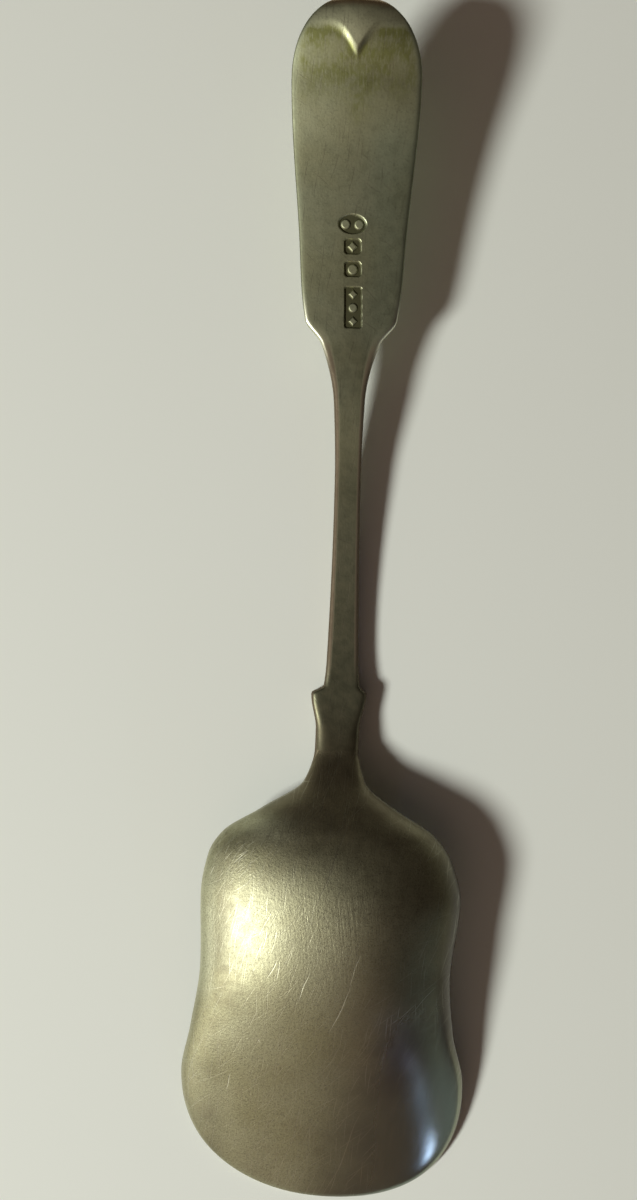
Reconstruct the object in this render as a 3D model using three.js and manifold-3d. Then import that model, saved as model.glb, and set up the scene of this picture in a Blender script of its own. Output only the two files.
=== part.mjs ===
// A serving spoon with a shovel bowl and a fiddle handle, lying face down with its back up.
// Millimetres, +Z up, +Y towards the end of the handle, +X across.
// The spoon is shaped as one blank, then parted at a scarf joint in the neck into the bowl,
// the film of hard solder and the handle. Four punch marks are struck in the handle's back.

import * as THREE from 'three';
import * as BufferGeometryUtils from 'three/addons/utils/BufferGeometryUtils.js';
import Module from 'manifold-3d';

// Lengths along the spoon, each from the place before it, from the bowl's tip to the handle's end.
const tipToFlank = 11.0;
const flankToFlare = 11.2;
const flareToThroat = 9.9;
const throatToWaist = 11.1;
const waistToLobe = 12.5;
const lobeToCheek = 7.1;
const cheekToTurn = 3.9;
const turnToHeel = 4.2;
const heelToRoot = 4.6;
const rootToNeck = 5.5;
const neckStretch = 3.3;
const neckToLug = 6.3;
const lugToStem = 1.4;
const stemToRest = 6.4;
const restToSlim = 29.6;
const slimToFoot = 13.8;
const footToBend = 9.5;
const bendToShoulder = 4.0;
const shoulderToBlade = 14.7;
const bladeToPalm = 12.0;
const palmToBroad = 11.0;
const broadToBrow = 10.6;
const browToEnd = 1.7;

// Half widths, seen from above.
const flareHalfWidth = 25.0;
const throatHalfWidth = 23.05;
const lobeHalfWidth = 22.55;
const heelHalfWidth = 11.7;
const rootHalfWidth = 5.35;
const neckHalfWidth = 3.88;
const lugHalfWidth = 4.95;
const stemHalfWidth = 3.25;
const restHalfWidth = 2.8;
const slimHalfWidth = 2.28;
const footHalfWidth = 2.7;
const bendHalfWidth = 5.0;
const shoulderHalfWidth = 7.9;
const bladeHalfWidth = 9.2;
const broadHalfWidth = 10.8;

// How far the waist, the cheeks and the turn to the heel are drawn in from the lobe, on each side.
const waistDraw = 0.8;
const cheekDraw = 1.5;
const turnDraw = 4.2;

// Roundness of the two ends: 2 is an ellipse, more is squarer.
const tipRoundness = 2.25;
const endRoundness = 2.05;

// How far the middle line stands to the side: long use has worn the tip askew and bowed the stem.
const tipLean = 2.5;
const flankLean = 0.8;
const flareLean = 0.0;
const throatLean = -0.35;
const waistLean = -0.1;
const lobeLean = 0.4;
const cheekLean = 0.0;
const turnLean = -0.25;
const heelLean = -0.25;
const rootLean = 0.4;
const neckLean = 0.65;
const lugLean = 0.75;
const stemLean = 1.2;
const slimLean = 0.95;
const shoulderLean = 0.45;
const broadLean = -0.05;
const endLean = -0.3;

// Heights of the back above the table, along the middle.
const tipBack = 1.3;
const flareBack = 9.1;
const throatBack = 12.9;
const waistBack = 16.1;
const lobeBack = 17.0;
const cheekBack = 16.0;
const turnBack = 14.5;
const heelBack = 11.8;
const rootBack = 8.1;
const neckBack = 5.2;
const lugBack = 3.9;
const restBack = 3.5;
const slimBack = 6.0;
const footBack = 8.8;
const shoulderBack = 10.3;
const bladeBack = 12.3;
const palmBack = 14.4;
const broadBack = 17.7;
const browBack = 21.1;
const endBack = 20.6;

// Heights of the edge line: the rim under the bowl, then the middle of the edge of the handle.
const tipEdge = 0.2;
const flareEdge = 3.0;
const throatEdge = 5.9;
const waistEdge = 7.8;
const lobeEdge = 7.8;
const cheekEdge = 7.7;
const heelEdge = 7.0;
const rootEdge = 5.6;

// Thicknesses of the metal, and the roundings of the rim, of the tip and of the handle's end.
const bowlGauge = 1.2;
const neckThickness = 3.5;
const restThickness = 3.6;
const slimThickness = 3.1;
const shoulderThickness = 2.1;
const bladeThickness = 2.0;
const palmThickness = 2.0;
const broadThickness = 2.0;
const browThickness = 2.3;
const endThickness = 2.3;
const rimRound = 0.3;
const edgeRound = 1.3;
const endRoll = 1.7;

// How much lower the back of the blade is beside its edges than along its middle.
const shoulderCrown = 0.25;
const endCrown = 0.5;

// Shape of a cross section: flat and square at high powers, round at low ones.
const bowlPower = 2.0;
const bowlArch = 0.58;
const neckPower = 4.0;
const neckArch = 0.42;
const stemPower = 12.0;
const stemArch = 0.28;
const bladePower = 30.0;
const bladeArch = 0.25;
const bellyPower = 8.0;
const bellyArch = 0.3;

// The hollow of the bowl runs out before the neck.
const hollowFade = 9.0;

// The pip: a raised lip across the back of the end, drawn down to a point in the middle,
// that dies away towards the sides.
const pipRise = 0.3;
const pipLip = 4.8;
const pipDrop = 3.7;
const pipHalfWidth = 2.0;
const pipCurve = 1.5;
const pipSoftness = 1.8;
const pipSpread = 5.0;

// The scarf joint in the neck: flat faces with a film of solder, and blunt ends.
const solderFilm = 0.2;
const scarfNose = 0.4;
const scarfRise = 1.2;

// Depth of the wear flats that the spoon rests on, under the stem and under the tip.
const restWear = 0.12;

// Punch marks: places from the handle's end, sizes along and across, depth, how far their row
// leans off the middle line, and the sunk border left round each raised figure.
const markDepth = 0.35;
const markLean = 0.3;
const markSkew = 0.032;
const ovalFromEnd = 34.4;
const ovalAcross = 4.6;
const ovalAlong = 3.1;
const firstSquareFromEnd = 38.0;
const secondSquareFromEnd = 41.7;
const squareAcross = 2.8;
const squareAlong = 2.45;
const squareCorner = 0.6;
const oblongFromEnd = 48.0;
const oblongAcross = 2.9;
const oblongAlong = 6.7;
const oblongCorner = 0.3;
const markBorder = 0.4;

// Fineness of the model: columns across, and the spacing of the rows in each stretch.
const columns = 16;
const tipRows = 10;
const bowlSpacing = 2.9;
const turnSpacing = 1.3;
const lugSpacing = 0.7;
const stemSpacing = 5.0;
const pipSpacing = 0.95;
const endRows = 4;
const punchSegments = 6;
const slopeStep = 0.5;
const halvings = 40;
const rimShoulder = 0.985;
const leastHollow = 0.5;
const flatOfFront = 0.9;
const beyond = 1.0;
const weld = 1e-4;
const nearlyNothing = 1e-6;

const nickelSilver = { color: 0x8f8d78, roughness: 0.38, metalness: 1.0 };
const wornPlate = { color: 0x99957c, roughness: 0.42, metalness: 1.0 };
const solder = { color: 0xa8a596, roughness: 0.5, metalness: 1.0 };

// Distances from the bowl's tip.
const atFlank = tipToFlank;
const atFlare = atFlank + flankToFlare;
const atThroat = atFlare + flareToThroat;
const atWaist = atThroat + throatToWaist;
const atLobe = atWaist + waistToLobe;
const atCheek = atLobe + lobeToCheek;
const atTurn = atCheek + cheekToTurn;
const atHeel = atTurn + turnToHeel;
const atRoot = atHeel + heelToRoot;
const atNeck = atRoot + rootToNeck;
const atWrist = atNeck + neckStretch;
const atLug = atWrist + neckToLug;
const atStem = atLug + lugToStem;
const atRest = atStem + stemToRest;
const atSlim = atRest + restToSlim;
const atFoot = atSlim + slimToFoot;
const atBend = atFoot + footToBend;
const atShoulder = atBend + bendToShoulder;
const atBlade = atShoulder + shoulderToBlade;
const atPalm = atBlade + bladeToPalm;
const atBroad = atPalm + palmToBroad;
const atBrow = atBroad + broadToBrow;
const atEnd = atBrow + browToEnd;
const overallLength = atEnd;

// A smooth line through a few points that never overshoots them.
function smoothLine(points) {
  const steps = points.slice(1).map((p, i) => p[0] - points[i][0]);
  const rises = steps.map((step, i) => (points[i + 1][1] - points[i][1]) / step);
  const slopes = points.map((p, i) => slopeAt(i, steps, rises));
  return (x) => {
    let i = 0;
    while (i < steps.length - 1 && x > points[i + 1][0]) {
      i += 1;
    }
    const u = THREE.MathUtils.clamp((x - points[i][0]) / steps[i], 0, 1);
    const flat = u * u * (3 - 2 * u);
    const start = steps[i] * slopes[i] * u * (1 - u) ** 2;
    const finish = steps[i] * slopes[i + 1] * u * u * (u - 1);
    return points[i][1] + (points[i + 1][1] - points[i][1]) * flat + start + finish;
  };
}

function slopeAt(i, steps, rises) {
  if (i === 0) {
    return rises[0];
  }
  if (i === steps.length) {
    return rises[i - 1];
  }
  if (rises[i - 1] * rises[i] <= 0) {
    return 0;
  }
  const before = 2 * steps[i] + steps[i - 1];
  const after = steps[i] + 2 * steps[i - 1];
  return (before + after) / (before / rises[i - 1] + after / rises[i]);
}

const sideLine = smoothLine([
  [0, flareHalfWidth],
  [atFlare, flareHalfWidth],
  [atThroat, throatHalfWidth],
  [atWaist, lobeHalfWidth - waistDraw],
  [atLobe, lobeHalfWidth],
  [atCheek, lobeHalfWidth - cheekDraw],
  [atTurn, lobeHalfWidth - turnDraw],
  [atHeel, heelHalfWidth],
  [atRoot, rootHalfWidth],
  [atNeck, neckHalfWidth],
  [atWrist, neckHalfWidth],
  [atLug, lugHalfWidth],
  [atStem, stemHalfWidth],
  [atRest, restHalfWidth],
  [atSlim, slimHalfWidth],
  [atFoot, footHalfWidth],
  [atBend, bendHalfWidth],
  [atShoulder, shoulderHalfWidth],
  [atBlade, bladeHalfWidth],
  [atBroad, broadHalfWidth],
  [atEnd, broadHalfWidth],
]);

const leanLine = smoothLine([
  [0, tipLean],
  [atFlank, flankLean],
  [atFlare, flareLean],
  [atThroat, throatLean],
  [atWaist, waistLean],
  [atLobe, lobeLean],
  [atCheek, cheekLean],
  [atTurn, turnLean],
  [atHeel, heelLean],
  [atRoot, rootLean],
  [atNeck, neckLean],
  [atLug, lugLean],
  [atStem, stemLean],
  [atSlim, slimLean],
  [atShoulder, shoulderLean],
  [atBroad, broadLean],
  [atEnd, endLean],
]);

const backLine = smoothLine([
  [0, tipBack],
  [atFlare, flareBack],
  [atThroat, throatBack],
  [atWaist, waistBack],
  [atLobe, lobeBack],
  [atCheek, cheekBack],
  [atTurn, turnBack],
  [atHeel, heelBack],
  [atRoot, rootBack],
  [atNeck, neckBack],
  [atLug, lugBack],
  [atRest, restBack],
  [atSlim, slimBack],
  [atFoot, footBack],
  [atShoulder, shoulderBack],
  [atBlade, bladeBack],
  [atPalm, palmBack],
  [atBroad, broadBack],
  [atBrow, browBack],
  [atEnd, endBack],
]);

const edgeLine = smoothLine([
  [0, tipEdge],
  [atFlare, flareEdge],
  [atThroat, throatEdge],
  [atWaist, waistEdge],
  [atLobe, lobeEdge],
  [atCheek, cheekEdge],
  [atHeel, heelEdge],
  [atRoot, rootEdge],
  [atNeck, neckBack - neckThickness / 2],
  [atRest, restBack - restThickness / 2],
  [atSlim, slimBack - slimThickness / 2],
  [atShoulder, shoulderBack - shoulderThickness / 2],
  [atBlade, bladeBack - bladeThickness / 2],
  [atPalm, palmBack - palmThickness / 2],
  [atBroad, broadBack - broadThickness / 2],
  [atBrow, browBack - browThickness / 2],
  [atEnd, endBack - endThickness / 2],
]);

const bellyLine = smoothLine([
  [0, rimRound],
  [atHeel, rimRound],
  [atNeck, neckThickness / 2],
  [atRest, restThickness / 2],
  [atSlim, slimThickness / 2],
  [atShoulder, shoulderThickness / 2],
  [atBlade, bladeThickness / 2],
  [atPalm, palmThickness / 2],
  [atBroad, broadThickness / 2],
  [atBrow, browThickness / 2],
  [atEnd, endThickness / 2],
]);

const powerLine = smoothLine([
  [0, bowlPower],
  [atCheek, bowlPower],
  [atNeck, neckPower],
  [atStem, stemPower],
  [atFoot, stemPower],
  [atShoulder, bladePower],
  [atEnd, bladePower],
]);

const archLine = smoothLine([
  [0, bowlArch],
  [atCheek, bowlArch],
  [atNeck, neckArch],
  [atStem, stemArch],
  [atFoot, stemArch],
  [atShoulder, bladeArch],
  [atEnd, bladeArch],
]);

const crownLine = smoothLine([
  [0, 0],
  [atFoot, 0],
  [atShoulder, shoulderCrown],
  [atEnd, endCrown],
]);

// Half width of the outline, drawn in by an inset all round; it closes roundly at both ends.
function halfWidth(s, inset = 0) {
  const side = sideLine(s) - inset;
  if (s < atFlare) {
    return side * roundOff((atFlare - s) / (atFlare - inset), tipRoundness);
  }
  if (s > atBroad) {
    return side * roundOff((s - atBroad) / (atEnd - atBroad - inset), endRoundness);
  }
  return side;
}

function roundOff(reach, roundness) {
  return Math.max(0, 1 - Math.min(1, reach) ** roundness) ** (1 / roundness);
}

// Runs from 0 at either end of the spoon to 1 within the rounding of its edge.
function edgeGrowth(s) {
  const inward = Math.min(s / edgeRound, (atEnd - s) / endRoll);
  return inward >= 1 ? 1 : Math.sqrt(Math.max(0, 1 - (1 - inward) ** 2));
}

function smoothStep(low, high, x) {
  const u = THREE.MathUtils.clamp((x - low) / (high - low), 0, 1);
  return u * u * (3 - 2 * u);
}

// How far the pip stands up at a distance from the end and from the middle line.
function pipHeight(fromEnd, across) {
  const border = pipLip + pipDrop * Math.exp(-((Math.abs(across) / pipHalfWidth) ** pipCurve));
  const fade = Math.exp(-((across / pipSpread) ** 2));
  return pipRise * fade * smoothStep(border + pipSoftness / 2, border - pipSoftness / 2, fromEnd);
}

// Height of the back at a station and a share of the half width.
function backHeight(s, share) {
  const edge = edgeLine(s);
  const crest = (backLine(s) - edge - crownLine(s) * share * share) * edgeGrowth(s);
  const arch = Math.max(0, 1 - Math.abs(share) ** powerLine(s)) ** archLine(s);
  const pip = pipHeight(atEnd - s, share * halfWidth(s)) * edgeGrowth(s);
  return edge + (crest + pip) * arch;
}

// Least half width of the hollow, or of the flat of the front, as a share of the outline.
const flatLine = smoothLine([
  [0, leastHollow],
  [atHeel, leastHollow],
  [atNeck, flatOfFront],
  [atEnd, flatOfFront],
]);

// The wall beside the hollow is measured square to the outline, so it widens where this narrows.
function hollowHalfWidth(s) {
  const slope = (sideLine(s + slopeStep) - sideLine(s - slopeStep)) / (2 * slopeStep);
  const wall = s < atFlare ? bowlGauge : bowlGauge * Math.hypot(1, slope);
  return Math.max(halfWidth(s, wall), halfWidth(s) * flatLine(s));
}

function hollowHeight(s) {
  const depth = backLine(s) - bowlGauge - (edgeLine(s) - rimRound);
  const start = smoothStep(0, edgeRound, s);
  return Math.max(0, depth) * start * smoothStep(atRoot, atRoot - hollowFade, s);
}

// Height of the front: the belly of the handle, or the rim and hollow of the bowl.
function frontHeight(s, across) {
  const share = Math.min(1, Math.abs(across) / Math.max(halfWidth(s), nearlyNothing));
  const belly = bellyLine(s) * edgeGrowth(s) * Math.max(0, 1 - share ** bellyPower) ** bellyArch;
  const inner = Math.min(1, Math.abs(across) / Math.max(hollowHalfWidth(s), nearlyNothing));
  const hollow = hollowHeight(s) * Math.max(0, 1 - inner ** bowlPower) ** bowlArch;
  return edgeLine(s) - belly + hollow;
}

// One closed ring of points round the spoon at a station.
function ring(s) {
  const wide = halfWidth(s);
  const middle = leanLine(s);
  const points = [];
  for (let i = 0; i <= columns; i += 1) {
    const share = -Math.cos((Math.PI * i) / columns);
    points.push([middle + wide * share, s, backHeight(s, share)]);
  }
  const hollow = hollowHalfWidth(s);
  const under = [rimShoulder * wide];
  for (let i = 0; i <= columns; i += 1) {
    under.push(hollow * Math.cos((Math.PI * i) / columns));
  }
  under.push(-rimShoulder * wide);
  under.forEach((across) => points.push([middle + across, s, frontHeight(s, across)]));
  return points;
}

// Evenly spaced stations from one place up to the next, which is left out.
function stretch(from, to, spacing) {
  const count = Math.ceil((to - from) / spacing);
  return Array.from({ length: count }, (_, i) => from + ((to - from) * i) / count);
}

// Stations that close up towards an end of the spoon, from it inwards.
function closing(reach, count) {
  return Array.from({ length: count - 1 }, (_, i) => {
    return reach * (1 - Math.cos((Math.PI / 2) * ((i + 1) / count)));
  });
}

function stations() {
  return [
    ...closing(atFlare, tipRows),
    ...stretch(atFlare, atCheek, bowlSpacing),
    ...stretch(atCheek, atWrist, turnSpacing),
    ...stretch(atWrist, atLug, 2 * turnSpacing),
    ...stretch(atLug, atStem, lugSpacing),
    ...stretch(atStem, atFoot, stemSpacing),
    ...stretch(atFoot, atBend, 2 * turnSpacing),
    ...stretch(atBend, atShoulder, turnSpacing),
    ...stretch(atShoulder, atBroad, stemSpacing),
    ...stretch(atBroad, atEnd - endRoll, pipSpacing),
    ...closing(endRoll, endRows).map((inward) => atEnd - inward).reverse(),
  ];
}

// The whole spoon before it is parted: rings of points, closed to one point at either end.
function blankGeometry() {
  const rings = stations().map(ring);
  const size = rings[0].length;
  const first = [tipLean, 0, edgeLine(0)];
  const last = [leanLine(atEnd), atEnd, edgeLine(atEnd)];
  const positions = [first, ...rings.flat(), last].flat();
  const lastIndex = positions.length / 3 - 1;
  const faces = [];
  for (let i = 0; i < size; i += 1) {
    const next = (i + 1) % size;
    const finalRing = 1 + (rings.length - 1) * size;
    faces.push(0, 1 + next, 1 + i);
    faces.push(lastIndex, finalRing + i, finalRing + next);
    for (let row = 0; row < rings.length - 1; row += 1) {
      const here = 1 + row * size;
      const there = here + size;
      faces.push(here + i, here + next, there + next);
      faces.push(here + i, there + next, there + i);
    }
  }
  const geometry = new THREE.BufferGeometry();
  geometry.setAttribute('position', new THREE.Float32BufferAttribute(positions, 3));
  geometry.setIndex(faces);
  return geometry;
}

// Solids for cutting and joining.
const wasm = await Module();
wasm.setup();

function toSolid(geometry) {
  const bare = geometry.clone();
  bare.deleteAttribute('normal');
  bare.deleteAttribute('uv');
  const merged = BufferGeometryUtils.mergeVertices(bare, weld);
  const mesh = new wasm.Mesh({
    numProp: 3,
    vertProperties: new Float32Array(merged.attributes.position.array),
    triVerts: new Uint32Array(merged.index.array),
  });
  return new wasm.Manifold(mesh);
}

function toGeometry(solid) {
  const mesh = solid.getMesh();
  const geometry = new THREE.BufferGeometry();
  geometry.setAttribute('position', new THREE.BufferAttribute(mesh.vertProperties, 3));
  geometry.setIndex(new THREE.BufferAttribute(mesh.triVerts, 1));
  geometry.computeVertexNormals();
  return geometry;
}

// A box from low to high corner that reaches right across the spoon.
function slab(lowY, highY, lowZ, highZ) {
  const across = 4 * (flareHalfWidth + lobeHalfWidth + broadHalfWidth);
  const box = new THREE.BoxGeometry(across, highY - lowY, highZ - lowZ);
  box.translate(0, (lowY + highY) / 2, (lowZ + highZ) / 2);
  return toSolid(box);
}

// The station in the neck where a falling height passes a level.
function stationWhere(height, level, low, high) {
  let near = low;
  let far = high;
  for (let i = 0; i < halvings; i += 1) {
    const middle = (near + far) / 2;
    if (height(middle) > level) {
      near = middle;
    } else {
      far = middle;
    }
  }
  return Math.fround(near);
}

// The scarf's two levels, and the stations of its blunt ends at the bowl and at the handle.
const scarfBottom = Math.fround(neckBack - neckThickness / 2 + scarfRise);
const scarfTop = Math.fround(scarfBottom + solderFilm);
const scarfFromBowl = stationWhere((s) => frontHeight(s, 0), scarfBottom - scarfNose, atHeel, atLug);
const scarfToHandle = stationWhere((s) => backHeight(s, 0), scarfTop + scarfNose, atHeel, atRest);

function punchOutline(across, along, corner) {
  const x = across / 2;
  const y = along / 2;
  const round = Math.min(corner, x, y);
  const shape = new THREE.Shape();
  shape.absarc(x - round, y - round, round, 0, Math.PI / 2);
  shape.absarc(round - x, y - round, round, Math.PI / 2, Math.PI);
  shape.absarc(round - x, round - y, round, Math.PI, 1.5 * Math.PI);
  shape.absarc(x - round, round - y, round, 1.5 * Math.PI, 2 * Math.PI);
  shape.closePath();
  return shape;
}

function ovalOutline() {
  const shape = new THREE.Shape();
  shape.absellipse(0, 0, ovalAcross / 2, ovalAlong / 2, 0, 2 * Math.PI);
  return shape;
}

// Figures that stand in a mark: a round bead and a lozenge.
function bead(x, y, reach) {
  const path = new THREE.Path();
  path.absarc(x, y, reach, 0, 2 * Math.PI);
  return path;
}

function lozenge(x, y, reach) {
  const path = new THREE.Path();
  path.moveTo(x + reach, y);
  path.lineTo(x, y + reach);
  path.lineTo(x - reach, y);
  path.lineTo(x, y - reach);
  path.closePath();
  return path;
}

// The tool that strikes one mark: its outline less the figures left standing in it.
function punch(outline, figures, fromEnd) {
  const s = atEnd - fromEnd;
  const slope = (backHeight(s + slopeStep, 0) - backHeight(s - slopeStep, 0)) / (2 * slopeStep);
  outline.holes.push(...figures);
  const tool = new THREE.ExtrudeGeometry(outline, {
    depth: 2 * markDepth,
    bevelEnabled: false,
    curveSegments: punchSegments,
  });
  const lean = markLean - markSkew * (oblongFromEnd - fromEnd);
  tool.rotateZ(Math.atan(markSkew));
  tool.translate(0, 0, -markDepth);
  tool.rotateX(Math.atan(slope));
  tool.translate(leanLine(s) + lean, s, backHeight(s, 0));
  return toSolid(tool);
}

// How far a figure reaches in its share of a mark.
function figureReach(across, along) {
  return Math.min(across, along) / 2 - markBorder;
}

function ovalPunch() {
  const apart = ovalAcross / 2;
  const reach = figureReach(apart, ovalAlong);
  return punch(ovalOutline(), [bead(-apart / 2, 0, reach), bead(apart / 2, 0, reach)], ovalFromEnd);
}

function squarePunch(figure, fromEnd) {
  const reach = figureReach(squareAcross, squareAlong);
  return punch(punchOutline(squareAcross, squareAlong, squareCorner), [figure(0, 0, reach)], fromEnd);
}

function oblongPunch() {
  const apart = oblongAlong / 3;
  const reach = figureReach(oblongAcross, apart);
  const figures = [lozenge(0, -apart, reach), bead(0, 0, reach), lozenge(0, apart, reach)];
  return punch(punchOutline(oblongAcross, oblongAlong, oblongCorner), figures, oblongFromEnd);
}

function punches() {
  return [
    ovalPunch(),
    squarePunch(lozenge, firstSquareFromEnd),
    squarePunch(bead, secondSquareFromEnd),
    oblongPunch(),
  ];
}

function namedMesh(name, solid, finish) {
  const mesh = new THREE.Mesh(toGeometry(solid), new THREE.MeshStandardMaterial(finish));
  mesh.name = name;
  return mesh;
}

// The blank, worn flat where it rests, and the solids that it is parted into.
const above = 2 * (endBack + lobeBack);
const blank = toSolid(blankGeometry()).intersect(slab(-beyond, atEnd + beyond, restWear, above));

function bowlSolid() {
  const body = slab(-beyond, scarfFromBowl, -beyond, above);
  const tang = slab(scarfFromBowl - beyond, scarfToHandle, scarfTop, above);
  return blank.intersect(body.add(tang));
}

function seamSolid() {
  return blank.intersect(slab(scarfFromBowl, scarfToHandle, scarfBottom, scarfTop));
}

function handleSolid() {
  const body = slab(scarfToHandle, atEnd + beyond, -beyond, above);
  const tongue = slab(scarfFromBowl, scarfToHandle + beyond, -beyond, scarfBottom);
  const plain = blank.intersect(body.add(tongue));
  return punches().reduce((handle, tool) => handle.subtract(tool), plain);
}

const spoon = new THREE.Group();
spoon.name = 'spoon';
spoon.add(namedMesh('bowl', bowlSolid(), wornPlate));
spoon.add(namedMesh('solder_seam', seamSolid(), solder));
spoon.add(namedMesh('handle', handleSolid(), nickelSilver));

const box = new THREE.Box3().setFromObject(spoon);
spoon.position.set(-(box.min.x + box.max.x) / 2, -overallLength / 2, -box.min.z);

export default spoon;
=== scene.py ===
import math
from functools import reduce

import bpy
import numpy as np
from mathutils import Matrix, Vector


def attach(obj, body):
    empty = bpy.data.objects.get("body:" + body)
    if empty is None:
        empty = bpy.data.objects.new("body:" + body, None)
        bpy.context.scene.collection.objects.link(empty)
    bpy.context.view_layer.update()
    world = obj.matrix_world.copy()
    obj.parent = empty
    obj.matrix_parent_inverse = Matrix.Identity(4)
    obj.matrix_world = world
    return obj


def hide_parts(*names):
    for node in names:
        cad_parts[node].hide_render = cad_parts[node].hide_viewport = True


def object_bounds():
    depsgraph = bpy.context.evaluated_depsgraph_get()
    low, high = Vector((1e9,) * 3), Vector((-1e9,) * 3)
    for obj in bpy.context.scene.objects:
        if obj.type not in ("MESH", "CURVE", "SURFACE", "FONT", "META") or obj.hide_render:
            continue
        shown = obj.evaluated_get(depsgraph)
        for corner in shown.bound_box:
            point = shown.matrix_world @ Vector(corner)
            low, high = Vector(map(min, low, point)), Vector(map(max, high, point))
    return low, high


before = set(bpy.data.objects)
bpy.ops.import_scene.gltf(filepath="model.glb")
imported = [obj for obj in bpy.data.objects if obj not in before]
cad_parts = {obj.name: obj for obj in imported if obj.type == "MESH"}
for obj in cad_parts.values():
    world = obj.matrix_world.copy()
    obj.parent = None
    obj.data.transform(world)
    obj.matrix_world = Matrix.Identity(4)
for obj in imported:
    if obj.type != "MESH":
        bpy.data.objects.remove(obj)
CAD_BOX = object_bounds()

bl_info = {
    "name": "Worn Serving Spoon",
    "version": (1, 0, 0),
    "blender": (4, 5, 0),
    "location": "3D View > Sidebar > Spoon",
    "description": "A fiddle-handled serving spoon with a shovel bowl, lying face down",
    "category": "Object",
}

# The tables below hold millimetres, which this turns into metres.
MM = 0.001

# Lengths along the spoon, each from the place before it, from the bowl's tip to the handle's end.
STEPS = {
    "tip": 0.0, "flank": 11.0, "flare": 11.2, "throat": 9.9, "waist": 11.1, "lobe": 12.5,
    "cheek": 7.1, "turn": 3.9, "heel": 4.2, "root": 4.6, "neck": 5.5, "wrist": 3.3, "lug": 6.3,
    "stem": 1.4, "rest": 6.4, "slim": 29.6, "foot": 13.8, "bend": 9.5, "shoulder": 4.0,
    "blade": 14.7, "palm": 12.0, "broad": 11.0, "brow": 10.6, "end": 1.7,
}

# Half widths, seen from above.
HALF_WIDTHS = {
    "tip": 25.0, "flare": 25.0, "throat": 23.05, "waist": 21.75, "lobe": 22.55, "cheek": 21.05,
    "turn": 18.35, "heel": 11.7, "root": 5.35, "neck": 3.88, "wrist": 3.88, "lug": 4.95, "stem": 3.25,
    "rest": 2.8, "slim": 2.28, "foot": 2.7, "bend": 5.0, "shoulder": 7.9, "blade": 9.2,
    "broad": 10.8, "end": 10.8,
}

# How far the middle line stands to the side.
LEANS = {
    "tip": 2.5, "flank": 0.8, "flare": 0.0, "throat": -0.35, "waist": -0.1, "lobe": 0.4,
    "cheek": 0.0, "turn": -0.25, "heel": -0.25, "root": 0.4, "neck": 0.65, "lug": 0.75, "stem": 1.2,
    "slim": 0.95, "shoulder": 0.45, "broad": -0.05, "end": -0.3,
}

# Heights of the back above the table, along the middle.
BACKS = {
    "tip": 1.3, "flare": 9.1, "throat": 12.9, "waist": 16.1, "lobe": 17.0, "cheek": 16.0,
    "turn": 14.5, "heel": 11.8, "root": 8.1, "neck": 5.2, "lug": 3.9, "rest": 3.5, "slim": 6.0,
    "foot": 8.8, "shoulder": 10.3, "blade": 12.3, "palm": 14.4, "broad": 17.7, "brow": 21.1,
    "end": 20.6,
}

# Heights of the rim under the bowl, and thicknesses of the handle, whose edge line is half way down.
RIMS = {
    "tip": 0.2, "flare": 3.0, "throat": 5.9, "waist": 7.8, "lobe": 7.8, "cheek": 7.7, "heel": 7.0,
    "root": 5.6,
}
THICKNESSES = {
    "neck": 3.5, "rest": 3.6, "slim": 3.1, "shoulder": 2.1, "blade": 2.0, "palm": 2.0, "broad": 2.0,
    "brow": 2.3, "end": 2.3,
}

# How much lower the back of the blade is beside its edges than along its middle.
CROWNS = {"tip": 0.0, "foot": 0.0, "shoulder": 0.25, "end": 0.5}

# Shape of a cross section: flat and square at high powers, round at low ones.
POWERS = {
    "tip": 2.0, "cheek": 2.0, "neck": 4.0, "stem": 12.0, "foot": 12.0, "shoulder": 30.0, "end": 30.0,
}
ARCHES = {
    "tip": 0.58, "cheek": 0.58, "neck": 0.42, "stem": 0.28, "foot": 0.28, "shoulder": 0.25, "end": 0.25,
}
FLATS = {"tip": 0.5, "heel": 0.5, "neck": 0.9, "end": 0.9}

# How dark the patina is, along the middle: most in the neck, least where the spoon is rubbed.
PATINAS = {
    "tip": 0.74, "flare": 0.38, "waist": 0.2, "lobe": 0.0, "cheek": 0.2, "turn": 0.55, "heel": 0.9,
    "root": 1.0, "lug": 1.0, "rest": 1.0, "slim": 0.85, "shoulder": 0.42, "blade": 0.15,
    "broad": 0.0, "end": 0.0,
}

# The longest scratches across the bowl's back: where each starts and ends, across and along.
LONG_SCRATCHES = (
    (0.8, -68.5, 4.3, -58.9), (3.9, -59.6, 5.4, -53.4), (-4.8, -62.7, -2.7, -57.0),
    (-10.3, -59.1, -8.1, -55.2), (-8.5, -59.1, -7.9, -55.6), (-11.5, -70.2, -10.9, -71.0),
    (-20.4, -43.3, -19.6, -41.4), (-16.4, -40.4, -14.0, -38.0), (-16.8, -81.2, -16.0, -77.4),
)

# Fine scratches: spacing, reach and width, then lean, the share of cells that hold one, and a seed.
BOWL_HAIRLINES = (
    (0.6, 6.0, 0.09, 0.10, 0.55, 3.1), (0.8, 6.0, 0.09, 0.45, 0.42, 7.7),
    (1.2, 7.0, 0.09, 0.85, 0.4, 5.2), (5.0, 22.0, 0.13, 0.30, 0.4, 12.3),
    (3.5, 5.0, 0.1, 1.25, 0.35, 17.9),
)
SCUFF_HAIRLINES = ((0.6, 2.8, 0.08, 0.75, 0.75, 27.3), (0.9, 2.2, 0.08, 0.45, 0.6, 31.9))
HANDLE_HAIRLINES = ((0.7, 5.0, 0.09, 0.10, 0.45, 21.4), (1.6, 4.0, 0.08, -0.9, 0.35, 34.2))

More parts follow.
